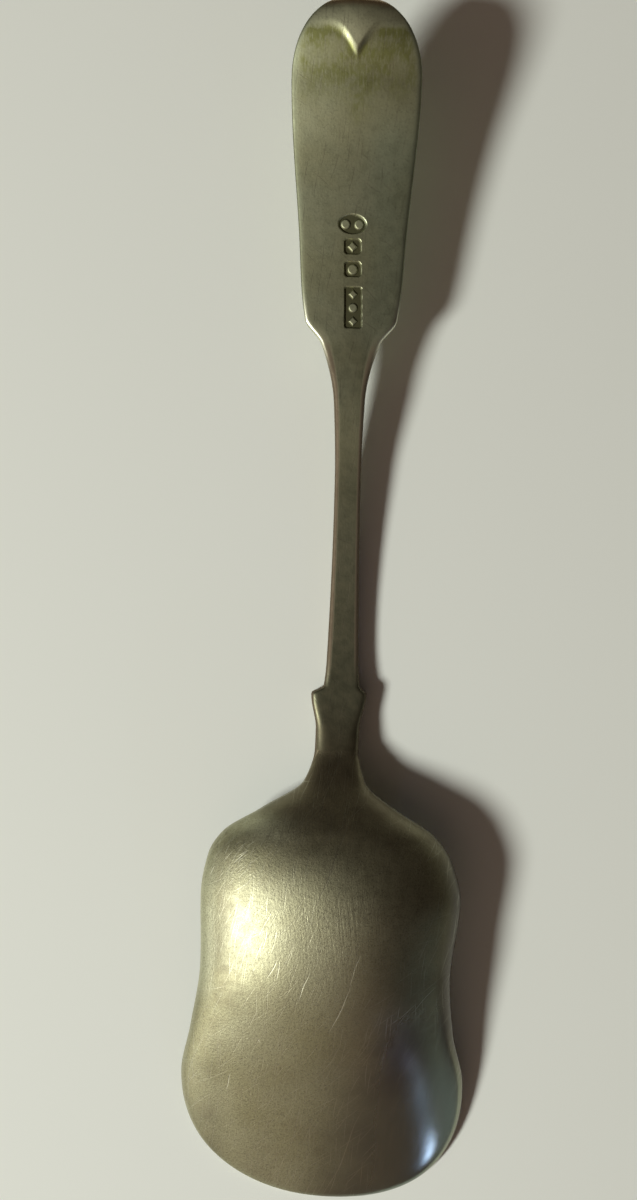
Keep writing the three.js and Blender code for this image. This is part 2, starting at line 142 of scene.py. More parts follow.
# Patches of the bowl's finish: middle across and along, then reach across and along. The cheek and core
# patches hold only painted highlight, the flank and heel patches painted shade, the last one painted shade
# on the right flank, and the brushed patch also painted sheen.
PATCHES = {
    "brushed_and_sheen": (-1.0, 54.0, 13.0, 11.0), "combed": (4.5, 54.0, 7.0, 7.0),
    "scuffed": (-15.5, 63.5, 7.0, 5.0), "cheek": (-11.5, 68.2, 5.0, 1.9),
    "heel": (-9.0, 71.4, 6.0, 2.2), "flank": (-17.0, 49.0, 4.2, 13.0),
    "core": (-12.5, 51.0, 4.5, 6.5), "right_flank_shade": (13.5, 31.0, 4.0, 8.5),
}

# How much painted light, painted shade in the patina colour and dark painted shade each patch takes.
PAINTED_LIGHT_PATCHES = {"brushed_and_sheen": 0.3, "cheek": 0.55, "core": 0.35}
PAINTED_SHADE_PATCHES = {"flank": 0.85, "heel": 1.0}
PAINTED_DARK_PATCHES = {"right_flank_shade": 0.85}

# Stretches in which a finish comes in, across or along: where it begins and where it is full.
BOWL_RIGHT = (-2 * MM, 15 * MM)
BOWL_LEFT = (-4 * MM, -15 * MM)
# The lit stretch left of the middle where painted light thins the patina.
PAINTED_LIGHT_INNER = (2 * MM, -8 * MM)
PAINTED_LIGHT_OUTER = (-20 * MM, -15 * MM)
# Painted reflection lightening the very edge low on the bowl's right.
PAINTED_REFLECTION_RIGHT = (17 * MM, 21 * MM)
# Painted cool reflection low on the bowl's right, along the bowl.
PAINTED_REFLECTION_ALONG = (36 * MM, 16 * MM)
# Painted light along the bowl's lit left edge, along the bowl.
PAINTED_LIGHT_ALONG = (35 * MM, 43 * MM)
# Painted cool reflection on the blade's right side.
PAINTED_BLADE_REFLECTION_RIGHT = (0, 6 * MM)
END_ROLL = (2.6 * MM, 1.2 * MM)
# Keeps the painted light on the pip off the end's rounding.
PAINTED_PIP_LIGHT_FROM_END = (2.2 * MM, 2.8 * MM)

# The same below the border of the pip, and beside its point.
STAIN_FROM = (-0.3 * MM, 0.9 * MM)
STAIN_TO = (13 * MM, 5 * MM)
# Painted light on the pip above its border.
PAINTED_PIP_LIGHT_ABOVE = (-0.4 * MM, -1.3 * MM)
RIDGE_BESIDE = (2.2 * MM, 0.5 * MM)

# The same as shares of the half width.
BOWL_RIM = (0.965, 1.0)
# Painted light on the bowl's lit left edge, and painted shade on its right edge.
PAINTED_LIGHT_EDGE = (0.84, 0.93)
PAINTED_SHADE_EDGE = (0.84, 0.95)
BOWL_CALM = (1.0, 0.85)
# The handle's edges: darkened as painted shade, and at the shoulders rubbed bright with a painted glint.
HANDLE_RIM = (0.89, 0.97)
# The stem's rounded flanks, browned as painted shade over their highlight.
STEM_FLANK = (0.64, 0.78)
STAIN_INNER = (1.0, 0.82)
HANDLE_CALM = (1.0, 0.8)

# Where a line is strongest, and how far it reaches to either side.
STAIN_LINE = (0.6 * MM, 1.2 * MM)
RIDGE_LINE = (0.0, 0.9 * MM)
# Rubbed bright shoulders, partly a painted glint.
SHOULDER_RUBBED_GLINT = (-2.2 * MM, 4.2 * MM)

# How fine the grain of each texture is, and how the streaks are turned and the smudges shifted.
BOWL_CLOUDS = 60.0
HANDLE_CLOUDS = 90.0
SMUDGES = 140.0
SMUDGES_AT = (0.3, 0, 0)
BLOTCHES = 300.0
MOTTLE = 600.0
SOLDER_MOTTLE = 900.0
PITS = 2600.0
SAND = 4200.0
BOWL_STREAKS = (1900, 150, 0)
BOWL_FLECKS = (2400, 1000, 0)
HANDLE_STREAKS = (2400, 600, 0)
STREAK_TURN = -0.12

# How deep the textures are pressed into the metal.
BUMP_DEPTH = 0.01 * MM
BOWL_BUMP_DEPTH = 0.016 * MM

# How much of a finish there is where it is strongest, as a share.
BORDER_STAIN = 0.8
RIDGE_PATINA = 0.9
# Painted shade in the patina colour over the bowl's right side.
RIGHT_PAINTED_SHADE = 0.5
STEM_TARNISH = 0.2
# How much painted light thins the patina and tarnish on the lit left, at the cheek and below the highlight.
PAINTED_LIGHT_CHEEK = 0.85
PAINTED_LIGHT_THROAT = 0.9
# Painted reflection at the low right edge, and painted light along the lit left edge.
PAINTED_REFLECTION_LOW_RIGHT = 0.25
PAINTED_LIGHT_LEFT = 0.5

# How far short of the bend the brown painted shade on the stem's edges is full.
BROWN_EDGE_SHADE_SHORT = 3 * MM

# The evening out of the bowl: how far in from the rim it is full, and its steps to either side.
EVEN_INWARD = 1.6
EVEN_STEPS = 4

# How much the waves and the dents vary about their sizes, and how far across the dents lie.
WAVE_SIZES = (0.6, 1.8)
DENT_WIDTHS = (0.5, 1.5)
DENT_DEPTHS = (0.4, 1.2)
DENT_SPREAD = 0.8

# Seeds of the random draws.
BOWL_WAVES_SEED = 3
BOWL_DENTS_SEED = 4
HANDLE_WAVES_SEED = 5
HANDLE_DENTS_SEED = 8

# How hairlines wander off their way, and how the lanes that they lie in differ.
WANDER_SCALE = 55.0
WANDER = 4 * MM
LANE_SPREAD = 7.3

# How the longest scratches wobble, and half their width.
WOBBLE_SCALE = 180.0
WOBBLE = 1.2 * MM
LONG_SCRATCH_WIDTH = 0.12 * MM

# Shapes of the sections and of the outline's ends.
BOWL_POWER = 2.0
BOWL_ARCH = 0.58
BELLY_POWER = 8.0
BELLY_ARCH = 0.3
TIP_ROUNDNESS = 2.25
END_ROUNDNESS = 2.05

# The mesh: edges above these angles stay sharp.
SHARP_ABOVE = math.radians(38)
SEAM_SHARP_ABOVE = math.radians(30)

# How closely the outline, the joint and a slope are measured.
OUTLINE_STATIONS = 2001
JOINT_STATIONS = 20001
SLOPE_STEP = 0.5 * MM

# A width that is safe to divide by, and a height above the whole spoon.
NEARLY_NOTHING = 1e-9
OPEN_ABOVE = 1.0


def places():
    """Distance of each named place from the bowl's tip."""
    total = 0.0
    found = {}
    for name, step in STEPS.items():
        total += step * MM
        found[name] = total
    return found


AT = places()
LENGTH = AT["end"]


def smooth_line(values, scale=MM):
    """A smooth line through a few named places that never overshoots them."""
    x = np.array([AT[name] for name in values])
    y = np.array([value * scale for value in values.values()])
    steps = np.diff(x)
    rises = np.diff(y) / steps
    slopes = np.zeros(len(x))
    slopes[0] = rises[0]
    slopes[-1] = rises[-1]
    for i in range(1, len(x) - 1):
        if rises[i - 1] * rises[i] > 0:
            before = 2 * steps[i] + steps[i - 1]
            after = steps[i] + 2 * steps[i - 1]
            slopes[i] = (before + after) / (before / rises[i - 1] + after / rises[i])

    def line(s):
        s = np.asarray(s, float)
        i = np.clip(np.searchsorted(x, s, side="left") - 1, 0, len(steps) - 1)
        u = np.clip((s - x[i]) / steps[i], 0, 1)
        flat = u * u * (3 - 2 * u)
        start = steps[i] * slopes[i] * u * (1 - u) ** 2
        finish = steps[i] * slopes[i + 1] * u * u * (u - 1)
        return y[i] + (y[i + 1] - y[i]) * flat + start + finish

    return line


def smooth_step(low, high, x):
    u = np.clip((x - low) / (high - low), 0, 1)
    return u * u * (3 - 2 * u)


def edge_heights():
    heights = dict(RIMS)
    for name, thickness in THICKNESSES.items():
        heights[name] = BACKS[name] - thickness / 2
    return heights


def belly_depths(rim_round):
    depths = {"tip": rim_round / MM, "heel": rim_round / MM}
    for name, thickness in THICKNESSES.items():
        depths[name] = thickness / 2
    return depths


SIDE = smooth_line(HALF_WIDTHS)
LEAN = smooth_line(LEANS)
BACK = smooth_line(BACKS)
EDGE = smooth_line(edge_heights())
CROWN = smooth_line(CROWNS)
POWER = smooth_line(POWERS, 1.0)
ARCH = smooth_line(ARCHES, 1.0)
FLAT = smooth_line(FLATS, 1.0)
PATINA = smooth_line(PATINAS, 1.0)


def round_off(reach, roundness):
    return np.maximum(0, 1 - np.clip(reach, 0, 1) ** roundness) ** (1 / roundness)


def half_width(s, inset=0.0):
    """Half width of the outline, drawn in by an inset; it closes roundly at both ends."""
    s = np.asarray(s, float)
    side = SIDE(s) - inset
    to_tip = round_off((AT["flare"] - s) / (AT["flare"] - inset), TIP_ROUNDNESS)
    to_end = round_off((s - AT["broad"]) / (LENGTH - AT["broad"] - inset), END_ROUNDNESS)
    return side * np.where(s < AT["flare"], to_tip, 1) * np.where(s > AT["broad"], to_end, 1)


def edge_growth(s, sizes):
    """Runs from 0 at either end of the spoon to 1 within the rounding of its edge."""
    inward = np.clip(np.minimum(s / sizes.edge_round, (LENGTH - s) / sizes.end_roll), 0, 1)
    return np.sqrt(np.maximum(0, 1 - (1 - inward) ** 2))


def hollow_half_width(s, gauge):
    """The wall beside the hollow is measured square to the outline, so it widens where this narrows."""
    slope = (SIDE(s + SLOPE_STEP) - SIDE(s - SLOPE_STEP)) / (2 * SLOPE_STEP)
    wall = np.where(s < AT["flare"], gauge, gauge * np.hypot(1, slope))
    side = SIDE(s) - wall
    to_tip = round_off((AT["flare"] - s) / (AT["flare"] - gauge), TIP_ROUNDNESS)
    inner = side * np.where(s < AT["flare"], to_tip, 1)
    return np.maximum(inner, half_width(s) * FLAT(s))


def hollow_height(s, sizes):
    depth = BACK(s) - sizes.gauge - (EDGE(s) - sizes.rim_round)
    start = smooth_step(0, sizes.edge_round, s)
    return np.maximum(0, depth) * start * smooth_step(AT["root"], AT["root"] - sizes.hollow_fade, s)


def pip_border(across, sizes):
    """Where the pip ends, as a distance from the handle's end."""
    drop = np.exp(-((np.abs(across) / sizes.pip_half_width) ** sizes.pip_curve))
    return sizes.pip_lip + sizes.pip_drop * drop


def pip_height(from_end, across, sizes):
    """How far the pip stands up at a distance from the end and from the middle line."""
    border = pip_border(across, sizes)
    fade = np.exp(-((across / sizes.pip_spread) ** 2))
    soft = sizes.pip_softness / 2
    return sizes.pip_rise * fade * (1 - smooth_step(border - soft, border + soft, from_end))


def smooth_noise(x, y, seed, wave, count=14):
    """Gentle unevenness from waves in many directions, from about -1 to 1."""
    rng = np.random.default_rng(seed)
    total = np.zeros_like(x)
    for _ in range(count):
        turn = rng.uniform(0, 2 * math.pi)
        size = wave * rng.uniform(*WAVE_SIZES)
        phase = rng.uniform(0, 2 * math.pi)
        total += np.sin(2 * math.pi * (x * math.cos(turn) + y * math.sin(turn)) / size + phase)
    return total / math.sqrt(count)


class Rows:
    """Stations along a piece, each with the slab of height that the piece keeps there."""

    def __init__(self):
        self.along = []
        self.low = []
        self.high = []
        self.closed = []

    def add(self, stations, low, high, closed=False):
        for s in stations:
            self.along.append(s)
            self.low.append(low)
            self.high.append(high)
            self.closed.append(closed)


def closing(reach, count):
    """Stations that close up towards an end of the spoon, from it inwards."""
    return [reach * (1 - math.cos(math.pi / 2 * i / count)) for i in range(count)]


def spaced(start, stop, spacing):
    """Evenly spaced stations from one place up to the next, which is left out."""
    count = math.ceil((stop - start) / spacing)
    return [start + (stop - start) * i / count for i in range(count)]


def rails(rows, sizes):
    """What the section needs at each station, for the rule that sweeps it."""
    s = np.array(rows.along)
    low = np.array(rows.low)
    high = np.array(rows.high)
    belly_line = smooth_line(belly_depths(sizes.rim_round))
    growth = edge_growth(s, sizes)
    edge = EDGE(s)
    crest = (BACK(s) - edge) * growth
    belly = belly_line(s) * growth
    power = POWER(s)
    arch = ARCH(s)
    up = np.clip((low - edge) / np.maximum(crest, NEARLY_NOTHING), 0, 1)
    down = np.clip((edge - high) / np.maximum(belly, NEARLY_NOTHING), 0, 1)
    reach_up = (1 - up ** (1 / arch)) ** (1 / power)
    reach_down = (1 - down ** (1 / BELLY_ARCH)) ** (1 / BELLY_POWER)
    closed = np.array(rows.closed)
    return {
        "along": s,
        "lean": LEAN(s),
        "half": half_width(s),
        "edge": edge,
        "crest": crest,
        "crown": CROWN(s) * growth,
        "power": power,
        "arch": arch,
        "belly": belly,
        "hollow": hollow_height(s, sizes),
        "hollow_half": np.maximum(hollow_half_width(s, sizes.gauge), NEARLY_NOTHING),
        "low": low,
        "high": high,
        "reach": np.where(closed, 0, np.minimum(reach_up, reach_down)),
        "middle": np.where(closed, (np.maximum(low, edge - belly) + np.minimum(high, edge + crest)) / 2, 0),
        "open": np.where(closed, 0.0, 1.0),
    }


def section(back_shares, front_shares):
    """Shares of the half width round the section: across the back, then under the front."""
    shares = np.concatenate([back_shares, front_shares[::-1]])
    under = np.concatenate([np.zeros(len(back_shares)), np.ones(len(front_shares))])
    return {"share": shares, "under": under}


def table_object(name, columns):
    """A row of loose points that carries one named value of each kind per point."""
    count = len(next(iter(columns.values())))
    mesh = bpy.data.meshes.new(name)
    mesh.vertices.add(count)
    store_values(mesh, columns)
    made = bpy.data.objects.new(name, mesh)
    bpy.context.scene.collection.objects.link(made)
    return made


class Value:
    """A value in a node tree, with which sums and products can be written plainly."""

    def __init__(self, tree, socket):
        self.tree = tree
        self.socket = socket

    def __add__(self, other):
        return calc(self.tree, "ADD", self, other)

    def __sub__(self, other):
        return calc(self.tree, "SUBTRACT", self, other)

    def __rsub__(self, other):
        return calc(self.tree, "SUBTRACT", other, self)

    def __mul__(self, other):
        return calc(self.tree, "MULTIPLY", self, other)

    def __truediv__(self, other):
        return calc(self.tree, "DIVIDE", self, other)

    def __pow__(self, other):
        return calc(self.tree, "POWER", self, other)

    def __neg__(self):
        return calc(self.tree, "MULTIPLY", self, -1.0)

    def __abs__(self):
        return calc(self.tree, "ABSOLUTE", self)

    def __floor__(self):
        return calc(self.tree, "FLOOR", self)

    def at_least(self, other):
        return calc(self.tree, "MAXIMUM", self, other)

    def at_most(self, other):
        return calc(self.tree, "MINIMUM", self, other)

    def ramp(self, low, high, bottom=0.0, top=1.0):
        """Runs smoothly from bottom to top as the value goes from low to high."""
        made = node(self.tree, "ShaderNodeMapRange", {
            "Value": self, "From Min": low, "From Max": high, "To Min": bottom, "To Max": top,
        }, interpolation_type="SMOOTHSTEP")
        return Value(self.tree, made.outputs["Result"])


def feed(tree, socket, value):
    """Links a socket to what feeds it, or sets its plain value."""
    if isinstance(value, Value):
        value = value.socket
    if isinstance(value, bpy.types.NodeSocket):
        tree.links.new(value, socket)
    else:
        socket.default_value = value


def node(tree, kind, feeds=None, **settings):
    made = tree.nodes.new(kind)
    for key, value in settings.items():
        setattr(made, key, value)
    for key, value in (feeds or {}).items():
        feed(tree, made.inputs[key], value)
    return made


def calc(tree, operation, *values):
    made = node(tree, "ShaderNodeMath", operation=operation)
    for socket, value in zip(made.inputs, values):
        feed(tree, socket, value)
    return Value(tree, made.outputs[0])


def arched(share, power, arch):
    """One less the share's power, raised to the arch."""
    return (1.0 - share ** power).at_least(0.0) ** arch


def section_rule(rail_keys, ring_keys):
    """Sweeps a section along the rails: each grid point takes its station from its row
    and its place round the section from its column."""
    tree = bpy.data.node_groups.new("Swept Section", "GeometryNodeTree")
    for name, kind in (
        ("Rails", "NodeSocketObject"),
        ("Section", "NodeSocketObject"),
        ("Stations", "NodeSocketInt"),
        ("Columns", "NodeSocketInt"),
        ("Weld", "NodeSocketFloat"),
        ("Metal", "NodeSocketMaterial"),
    ):
        tree.interface.new_socket(name, in_out="INPUT", socket_type=kind)
    tree.interface.new_socket("Geometry", in_out="OUTPUT", socket_type="NodeSocketGeometry")
    given = tree.nodes.new("NodeGroupInput").outputs
    columns = Value(tree, given["Columns"])
    grid = node(tree, "GeometryNodeMeshGrid", {"Vertices X": given["Stations"], "Vertices Y": columns})
    index = Value(tree, node(tree, "GeometryNodeInputIndex").outputs[0])
    row = math.floor(index / columns)
    column = index - row * columns

    def look_up(table_name, keys, place):
        table = node(tree, "GeometryNodeObjectInfo", {"Object": given[table_name]}).outputs["Geometry"]
        found = {}
        for key in keys:
            named = node(tree, "GeometryNodeInputNamedAttribute", {"Name": key}, data_type="FLOAT")
            sample = node(tree, "GeometryNodeSampleIndex", {
                "Geometry": table, "Value": named.outputs["Attribute"], "Index": place},
                data_type="FLOAT", domain="POINT")
            found[key] = Value(tree, sample.outputs["Value"])
        return found

    rail = look_up("Rails", rail_keys, row)
    ring = look_up("Section", ring_keys, column)
    share = ring["share"].at_least(-rail["reach"]).at_most(rail["reach"])
    size = abs(share)
    across = share * rail["half"]
    crest = rail["crest"] - rail["crown"] * (size * size)
    back = rail["edge"] + crest * arched(size, rail["power"], rail["arch"])
    inner = (abs(across) / rail["hollow_half"]).at_most(1.0)
    belly = rail["belly"] * arched(size, BELLY_POWER, BELLY_ARCH)
    front = rail["edge"] - belly + rail["hollow"] * arched(inner, BOWL_POWER, BOWL_ARCH)
    height = back + (front - back) * ring["under"]
    height = height.at_least(rail["low"]).at_most(rail["high"]) * rail["open"] + rail["middle"]
    place = node(tree, "ShaderNodeCombineXYZ", {
        "X": rail["lean"] + across, "Y": rail["along"], "Z": height})
    moved = node(tree, "GeometryNodeSetPosition", {
        "Geometry": grid.outputs["Mesh"], "Position": place.outputs[0]})
    marked = node(tree, "GeometryNodeStoreNamedAttribute", {
        "Geometry": moved.outputs[0], "Name": "under", "Value": ring["under"]},
        data_type="FLOAT", domain="POINT")
    welded = node(tree, "GeometryNodeMergeByDistance", {
        "Geometry": marked.outputs[0], "Distance": given["Weld"]})
    real = node(tree, "GeometryNodeRealizeInstances", {"Geometry": welded.outputs[0]})
    coated = node(tree, "GeometryNodeSetMaterial", {
        "Geometry": real.outputs[0], "Material": given["Metal"]})
    out = tree.nodes.new("NodeGroupOutput")
    tree.links.new(coated.outputs[0], out.inputs[0])
    return tree


def swept_piece(name, rows, sizes, back_shares, front_shares, metal):
    """Makes one closed piece by the section rule and turns it into a plain mesh."""
    table = rails(rows, sizes)
    ring = section(back_shares, front_shares)
    rail_object = table_object(name + "_rails", table)
    ring_object = table_object(name + "_section", ring)
    tree = section_rule(table, ring)
    made = bpy.data.objects.new(name, bpy.data.meshes.new(name))
    bpy.context.scene.collection.objects.link(made)
    modifier = made.modifiers.new("Swept Section", "NODES")
    modifier.node_group = tree
    values = {
        "Rails": rail_object,
        "Section": ring_object,
        "Stations": len(rows.along),
        "Columns": len(ring["share"]),
        "Weld": sizes.weld,
        "Metal": metal,
    }
    for item in tree.interface.items_tree:
        if item.in_out == "INPUT":
            modifier[item.identifier] = values[item.name]
    depsgraph = bpy.context.evaluated_depsgraph_get()
    plain = bpy.data.meshes.new_from_object(made.evaluated_get(depsgraph))
    made.modifiers.clear()
    made.data = plain
    plain.name = name
    for helper in (rail_object, ring_object):
        mesh = helper.data
        bpy.data.objects.remove(helper)
        bpy.data.meshes.remove(mesh)
    bpy.data.node_groups.remove(tree)
    return made


def points_of(mesh):
    flat = np.empty(len(mesh.vertices) * 3, np.float32)
    mesh.vertices.foreach_get("co", flat)
    return flat.reshape(-1, 3).astype(float)


def values_of(mesh, key):
    flat = np.empty(len(mesh.vertices), np.float32)
    mesh.attributes[key].data.foreach_get("value", flat)
    return flat.astype(float)


def on_back_of(piece):
    """Whether each point lies on the spoon's back."""
    return values_of(piece.data, "under") < 0.5


def store_values(mesh, columns):
    """Stores values on a mesh's points, each kind by its name."""
    for key, values in columns.items():
        attribute = mesh.attributes.new(key, "FLOAT", "POINT")
        attribute.data.foreach_set("value", np.asarray(values, np.float32))


def signed_volume(mesh):
    mesh.calc_loop_triangles()
    corners = np.empty(len(mesh.loop_triangles) * 3, np.int32)
    mesh.loop_triangles.foreach_get("vertices", corners)
    p = points_of(mesh)[corners.reshape(-1, 3)]
    return np.einsum("ij,ij->i", p[:, 0], np.cross(p[:, 1], p[:, 2])).sum() / 6


def settle(piece, points, sizes, crease):
    """Moves a piece's points into the row frame, faces it outwards and shades it smoothly."""
    s = np.linspace(0, LENGTH, OUTLINE_STATIONS)
    side = half_width(s)
    middle = ((LEAN(s) + side).max() + (LEAN(s) - side).min()) / 2
    low, high = CAD_BOX
    box_middle = (low + high) / 2
    points[:, 0] += box_middle.x - middle
    points[:, 1] += low.y
    points[:, 2] += low.z - sizes.wear
    piece.data.vertices.foreach_set("co", points.astype(np.float32).ravel())
    if signed_volume(piece.data) < 0:
        piece.data.flip_normals()
    piece.data.shade_smooth()
    piece.data.set_sharp_from_angle(angle=crease)
    piece.data.update()


def unevenness(points, seed, wave, depth):
    return depth * smooth_noise(points[:, 0], points[:, 1], seed, wave)


def dents(points, seed, count, low, high, depth, reach):
    """Small shallow dents scattered over a stretch of the back."""
    rng = np.random.default_rng(seed)
    total = np.zeros(len(points))
    for _ in range(count):
        along = rng.uniform(low, high)
        across = rng.uniform(-DENT_SPREAD, DENT_SPREAD) * float(half_width(along)) + float(LEAN(along))
        wide = reach * rng.uniform(*DENT_WIDTHS)
        deep = depth * rng.uniform(*DENT_DEPTHS)
        far = np.hypot(points[:, 0] - across, points[:, 1] - along) / wide
        total += deep * np.exp(-far * far)
    return total


def scarf(sizes):
    """The scarf joint in the neck: its two levels, and where it ends on each side."""
    bottom = (BACKS["neck"] - THICKNESSES["neck"] / 2) * MM + sizes.scarf_rise
    top = bottom + sizes.solder_film
    s = np.linspace(AT["heel"], AT["rest"], JOINT_STATIONS)
    belly_line = smooth_line(belly_depths(sizes.rim_round))
    front = EDGE(s) - belly_line(s) + hollow_height(s, sizes)
    from_bowl = s[np.argmax(front <= bottom - sizes.scarf_nose)]
    to_handle = s[np.argmax(BACK(s) <= top + sizes.scarf_nose)]
    return bottom, top, from_bowl, to_handle


def cosine_shares(count):
    return -np.cos(np.pi * np.arange(count + 1) / count)


def bowl_rows(sizes):
    _, top, from_bowl, to_handle = scarf(sizes)
    rows = Rows()
    floor = sizes.wear
    rows.add(closing(AT["flare"], sizes.tip_rows), floor, OPEN_ABOVE)
    rows.add(spaced(AT["flare"], AT["cheek"], sizes.bowl_spacing), floor, OPEN_ABOVE)
    rows.add(spaced(AT["cheek"], from_bowl, sizes.neck_spacing), floor, OPEN_ABOVE)
    rows.add([from_bowl], floor, OPEN_ABOVE)
    rows.add(spaced(from_bowl, to_handle, sizes.neck_spacing), top, OPEN_ABOVE)
    rows.add([to_handle], top, OPEN_ABOVE)
    rows.add([to_handle], top, OPEN_ABOVE, closed=True)
    return rows


def seam_rows(sizes):
    bottom, top, from_bowl, to_handle = scarf(sizes)
    rows = Rows()
    rows.add([from_bowl], bottom, top, closed=True)
    rows.add(spaced(from_bowl, to_handle, sizes.neck_spacing), bottom, top)
    rows.add([to_handle], bottom, top)
    rows.add([to_handle], bottom, top, closed=True)
    return rows


def handle_rows(sizes):
    bottom, _, from_bowl, to_handle = scarf(sizes)
    rows = Rows()
    floor = sizes.wear
    marks_from = LENGTH - sizes.oblong_from_end - sizes.oblong_along / 2 - sizes.mark_margin
    marks_to = LENGTH - sizes.oval_from_end + sizes.oval_along / 2 + sizes.mark_margin
    pip_from = LENGTH - sizes.pip_lip - sizes.pip_drop - sizes.mark_margin
    rows.add([from_bowl], floor, bottom, closed=True)
    rows.add(spaced(from_bowl, to_handle, sizes.neck_spacing), floor, bottom)
    rows.add([to_handle], floor, bottom)
    rows.add(spaced(to_handle, AT["stem"], sizes.neck_spacing), floor, OPEN_ABOVE)
    rows.add(spaced(AT["stem"], AT["foot"], sizes.stem_spacing), floor, OPEN_ABOVE)
    rows.add(spaced(AT["foot"], marks_from, sizes.neck_spacing), floor, OPEN_ABOVE)
    rows.add(spaced(marks_from, marks_to, sizes.mark_spacing), floor, OPEN_ABOVE)
    rows.add(spaced(marks_to, pip_from, sizes.stem_spacing), floor, OPEN_ABOVE)
    rows.add(spaced(pip_from, LENGTH - sizes.end_roll, sizes.pip_spacing), floor, OPEN_ABOVE)
    end = [LENGTH - inward for inward in closing(sizes.end_roll, sizes.end_rows)][::-1]
    rows.add(end, floor, OPEN_ABOVE)
    return rows


def side_shares(stops):
    """Shares from the middle to one edge, with its own spacing in each stretch."""
    shares = []
    start = 0.0
    for stop, spacing in stops:
        count = math.ceil((stop - start) / spacing)
        shares += [start + (stop - start) * i / count for i in range(count)]
        start = stop
    return shares


def handle_shares(sizes):
    """Columns across the handle's back, closest where the marks are struck and at the edges."""
    blade = HALF_WIDTHS["blade"] * MM
    panel = (sizes.oval_across / 2 + sizes.mark_lean + sizes.mark_margin) / blade
    edge = sizes.edge_share
    side = side_shares([(panel, sizes.mark_column / blade), (edge, sizes.plain_column / blade)])
    turn = [edge + (1 - edge) * math.sin(math.pi / 2 * i / sizes.edge_columns)
            for i in range(sizes.edge_columns + 1)]
    half = side + turn
    return np.array([-share for share in half[:0:-1]] + half)


def box_distance(x, y, across, along, corner):
    """Distance outside a rectangle with round corners; below 0 inside it."""
    out_x = np.abs(x) - across / 2 + corner
    out_y = np.abs(y) - along / 2 + corner
    outside = np.hypot(np.maximum(out_x, 0), np.maximum(out_y, 0))
    return outside + np.minimum(np.maximum(out_x, out_y), 0) - corner


def oval_distance(x, y, across, along):
    reach = min(across, along) / 2
    return (np.hypot(x / (across / 2), y / (along / 2)) - 1) * reach


def bead_distance(x, y, reach):
    return np.hypot(x, y) - reach


def lozenge_distance(x, y, reach):
    return (np.abs(x) + np.abs(y) - reach) / math.sqrt(2)


def marks(x, y, sizes):
    """How deep the four punch marks are, as a share of the full depth, at each point."""
    soft = sizes.mark_softness
    total = np.zeros(len(x))

    def figure_reach(across, along):
        return min(across, along) / 2 - sizes.mark_border

    def strike(from_end, outline, figures):
        place = LENGTH - from_end
        lean = sizes.mark_lean - sizes.mark_skew * (sizes.oblong_from_end - from_end)
        along = y - place
        across = x - float(LEAN(place)) - lean + sizes.mark_skew * along
        sunk = 1 - smooth_step(-soft, soft, outline(across, along))
        raised = np.zeros(len(x))
        for figure, offset_x, offset_y, reach in figures:
            distance = figure(across - offset_x, along - offset_y, reach)
            raised = np.maximum(raised, 1 - smooth_step(-soft, soft, distance))
        np.maximum(total, sunk * (1 - sizes.figure_height * raised), out=total)

    pair = sizes.oval_across / 2
    reach = figure_reach(pair, sizes.oval_along)
    strike(sizes.oval_from_end,
           lambda u, v: oval_distance(u, v, sizes.oval_across, sizes.oval_along),
           [(bead_distance, -pair / 2, 0, reach), (bead_distance, pair / 2, 0, reach)])
    reach = figure_reach(sizes.square_across, sizes.square_along)
    for figure, from_end in ((lozenge_distance, sizes.first_square_from_end),
                             (bead_distance, sizes.second_square_from_end)):
        strike(from_end,
               lambda u, v: box_distance(
                   u, v, sizes.square_across, sizes.square_along, sizes.square_corner),
               [(figure, 0, 0, reach)])
    third = sizes.oblong_along / 3
    reach = figure_reach(sizes.oblong_across, third)
    strike(sizes.oblong_from_end,
           lambda u, v: box_distance(
               u, v, sizes.oblong_across, sizes.oblong_along, sizes.oblong_corner),
           [(lozenge_distance, 0, -third, reach), (bead_distance, 0, 0, reach),
            (lozenge_distance, 0, third, reach)])
    return total


def share_at(x, s):
    """Share of the half width at any place on the spoon."""
    half = np.maximum(half_width(s), NEARLY_NOTHING)
    return np.clip(np.abs(x - LEAN(s)) / half, 0, 1)


def arch_at(x, s):
    """Height of the plain back above its edge, as a share of the height along the middle."""
    return np.maximum(0, 1 - share_at(x, s) ** POWER(s)) ** ARCH(s)


def back_height(x, s):
    return EDGE(s) + (BACK(s) - EDGE(s)) * arch_at(x, s)


def stamp_handle(piece, points, sizes):
    """Raises the pip, strikes the marks and leaves a few small dents."""
    x, s = points[:, 0], points[:, 1]
    on_back = on_back_of(piece)
    pip = pip_height(LENGTH - s, x - LEAN(s), sizes) * edge_growth(s, sizes) * arch_at(x, s)
    struck = marks(x, s, sizes)
    uneven = unevenness(points, HANDLE_WAVES_SEED, sizes.handle_wave, sizes.handle_unevenness)
    uneven *= smooth_step(AT["wrist"], AT["stem"], s) * smooth_step(*HANDLE_CALM, share_at(x, s))
    dented = dents(points, HANDLE_DENTS_SEED, sizes.handle_dents, AT["foot"], AT["broad"],
                   sizes.dent_depth, sizes.dent_reach)
    lift = np.where(on_back, pip - struck * sizes.mark_depth - dented * (1 - struck), 0)
    points[:, 2] = np.maximum(points[:, 2] + lift + np.where(on_back, uneven, 0), sizes.wear)
    store_values(piece.data, {"struck": np.where(on_back, struck, 0)})


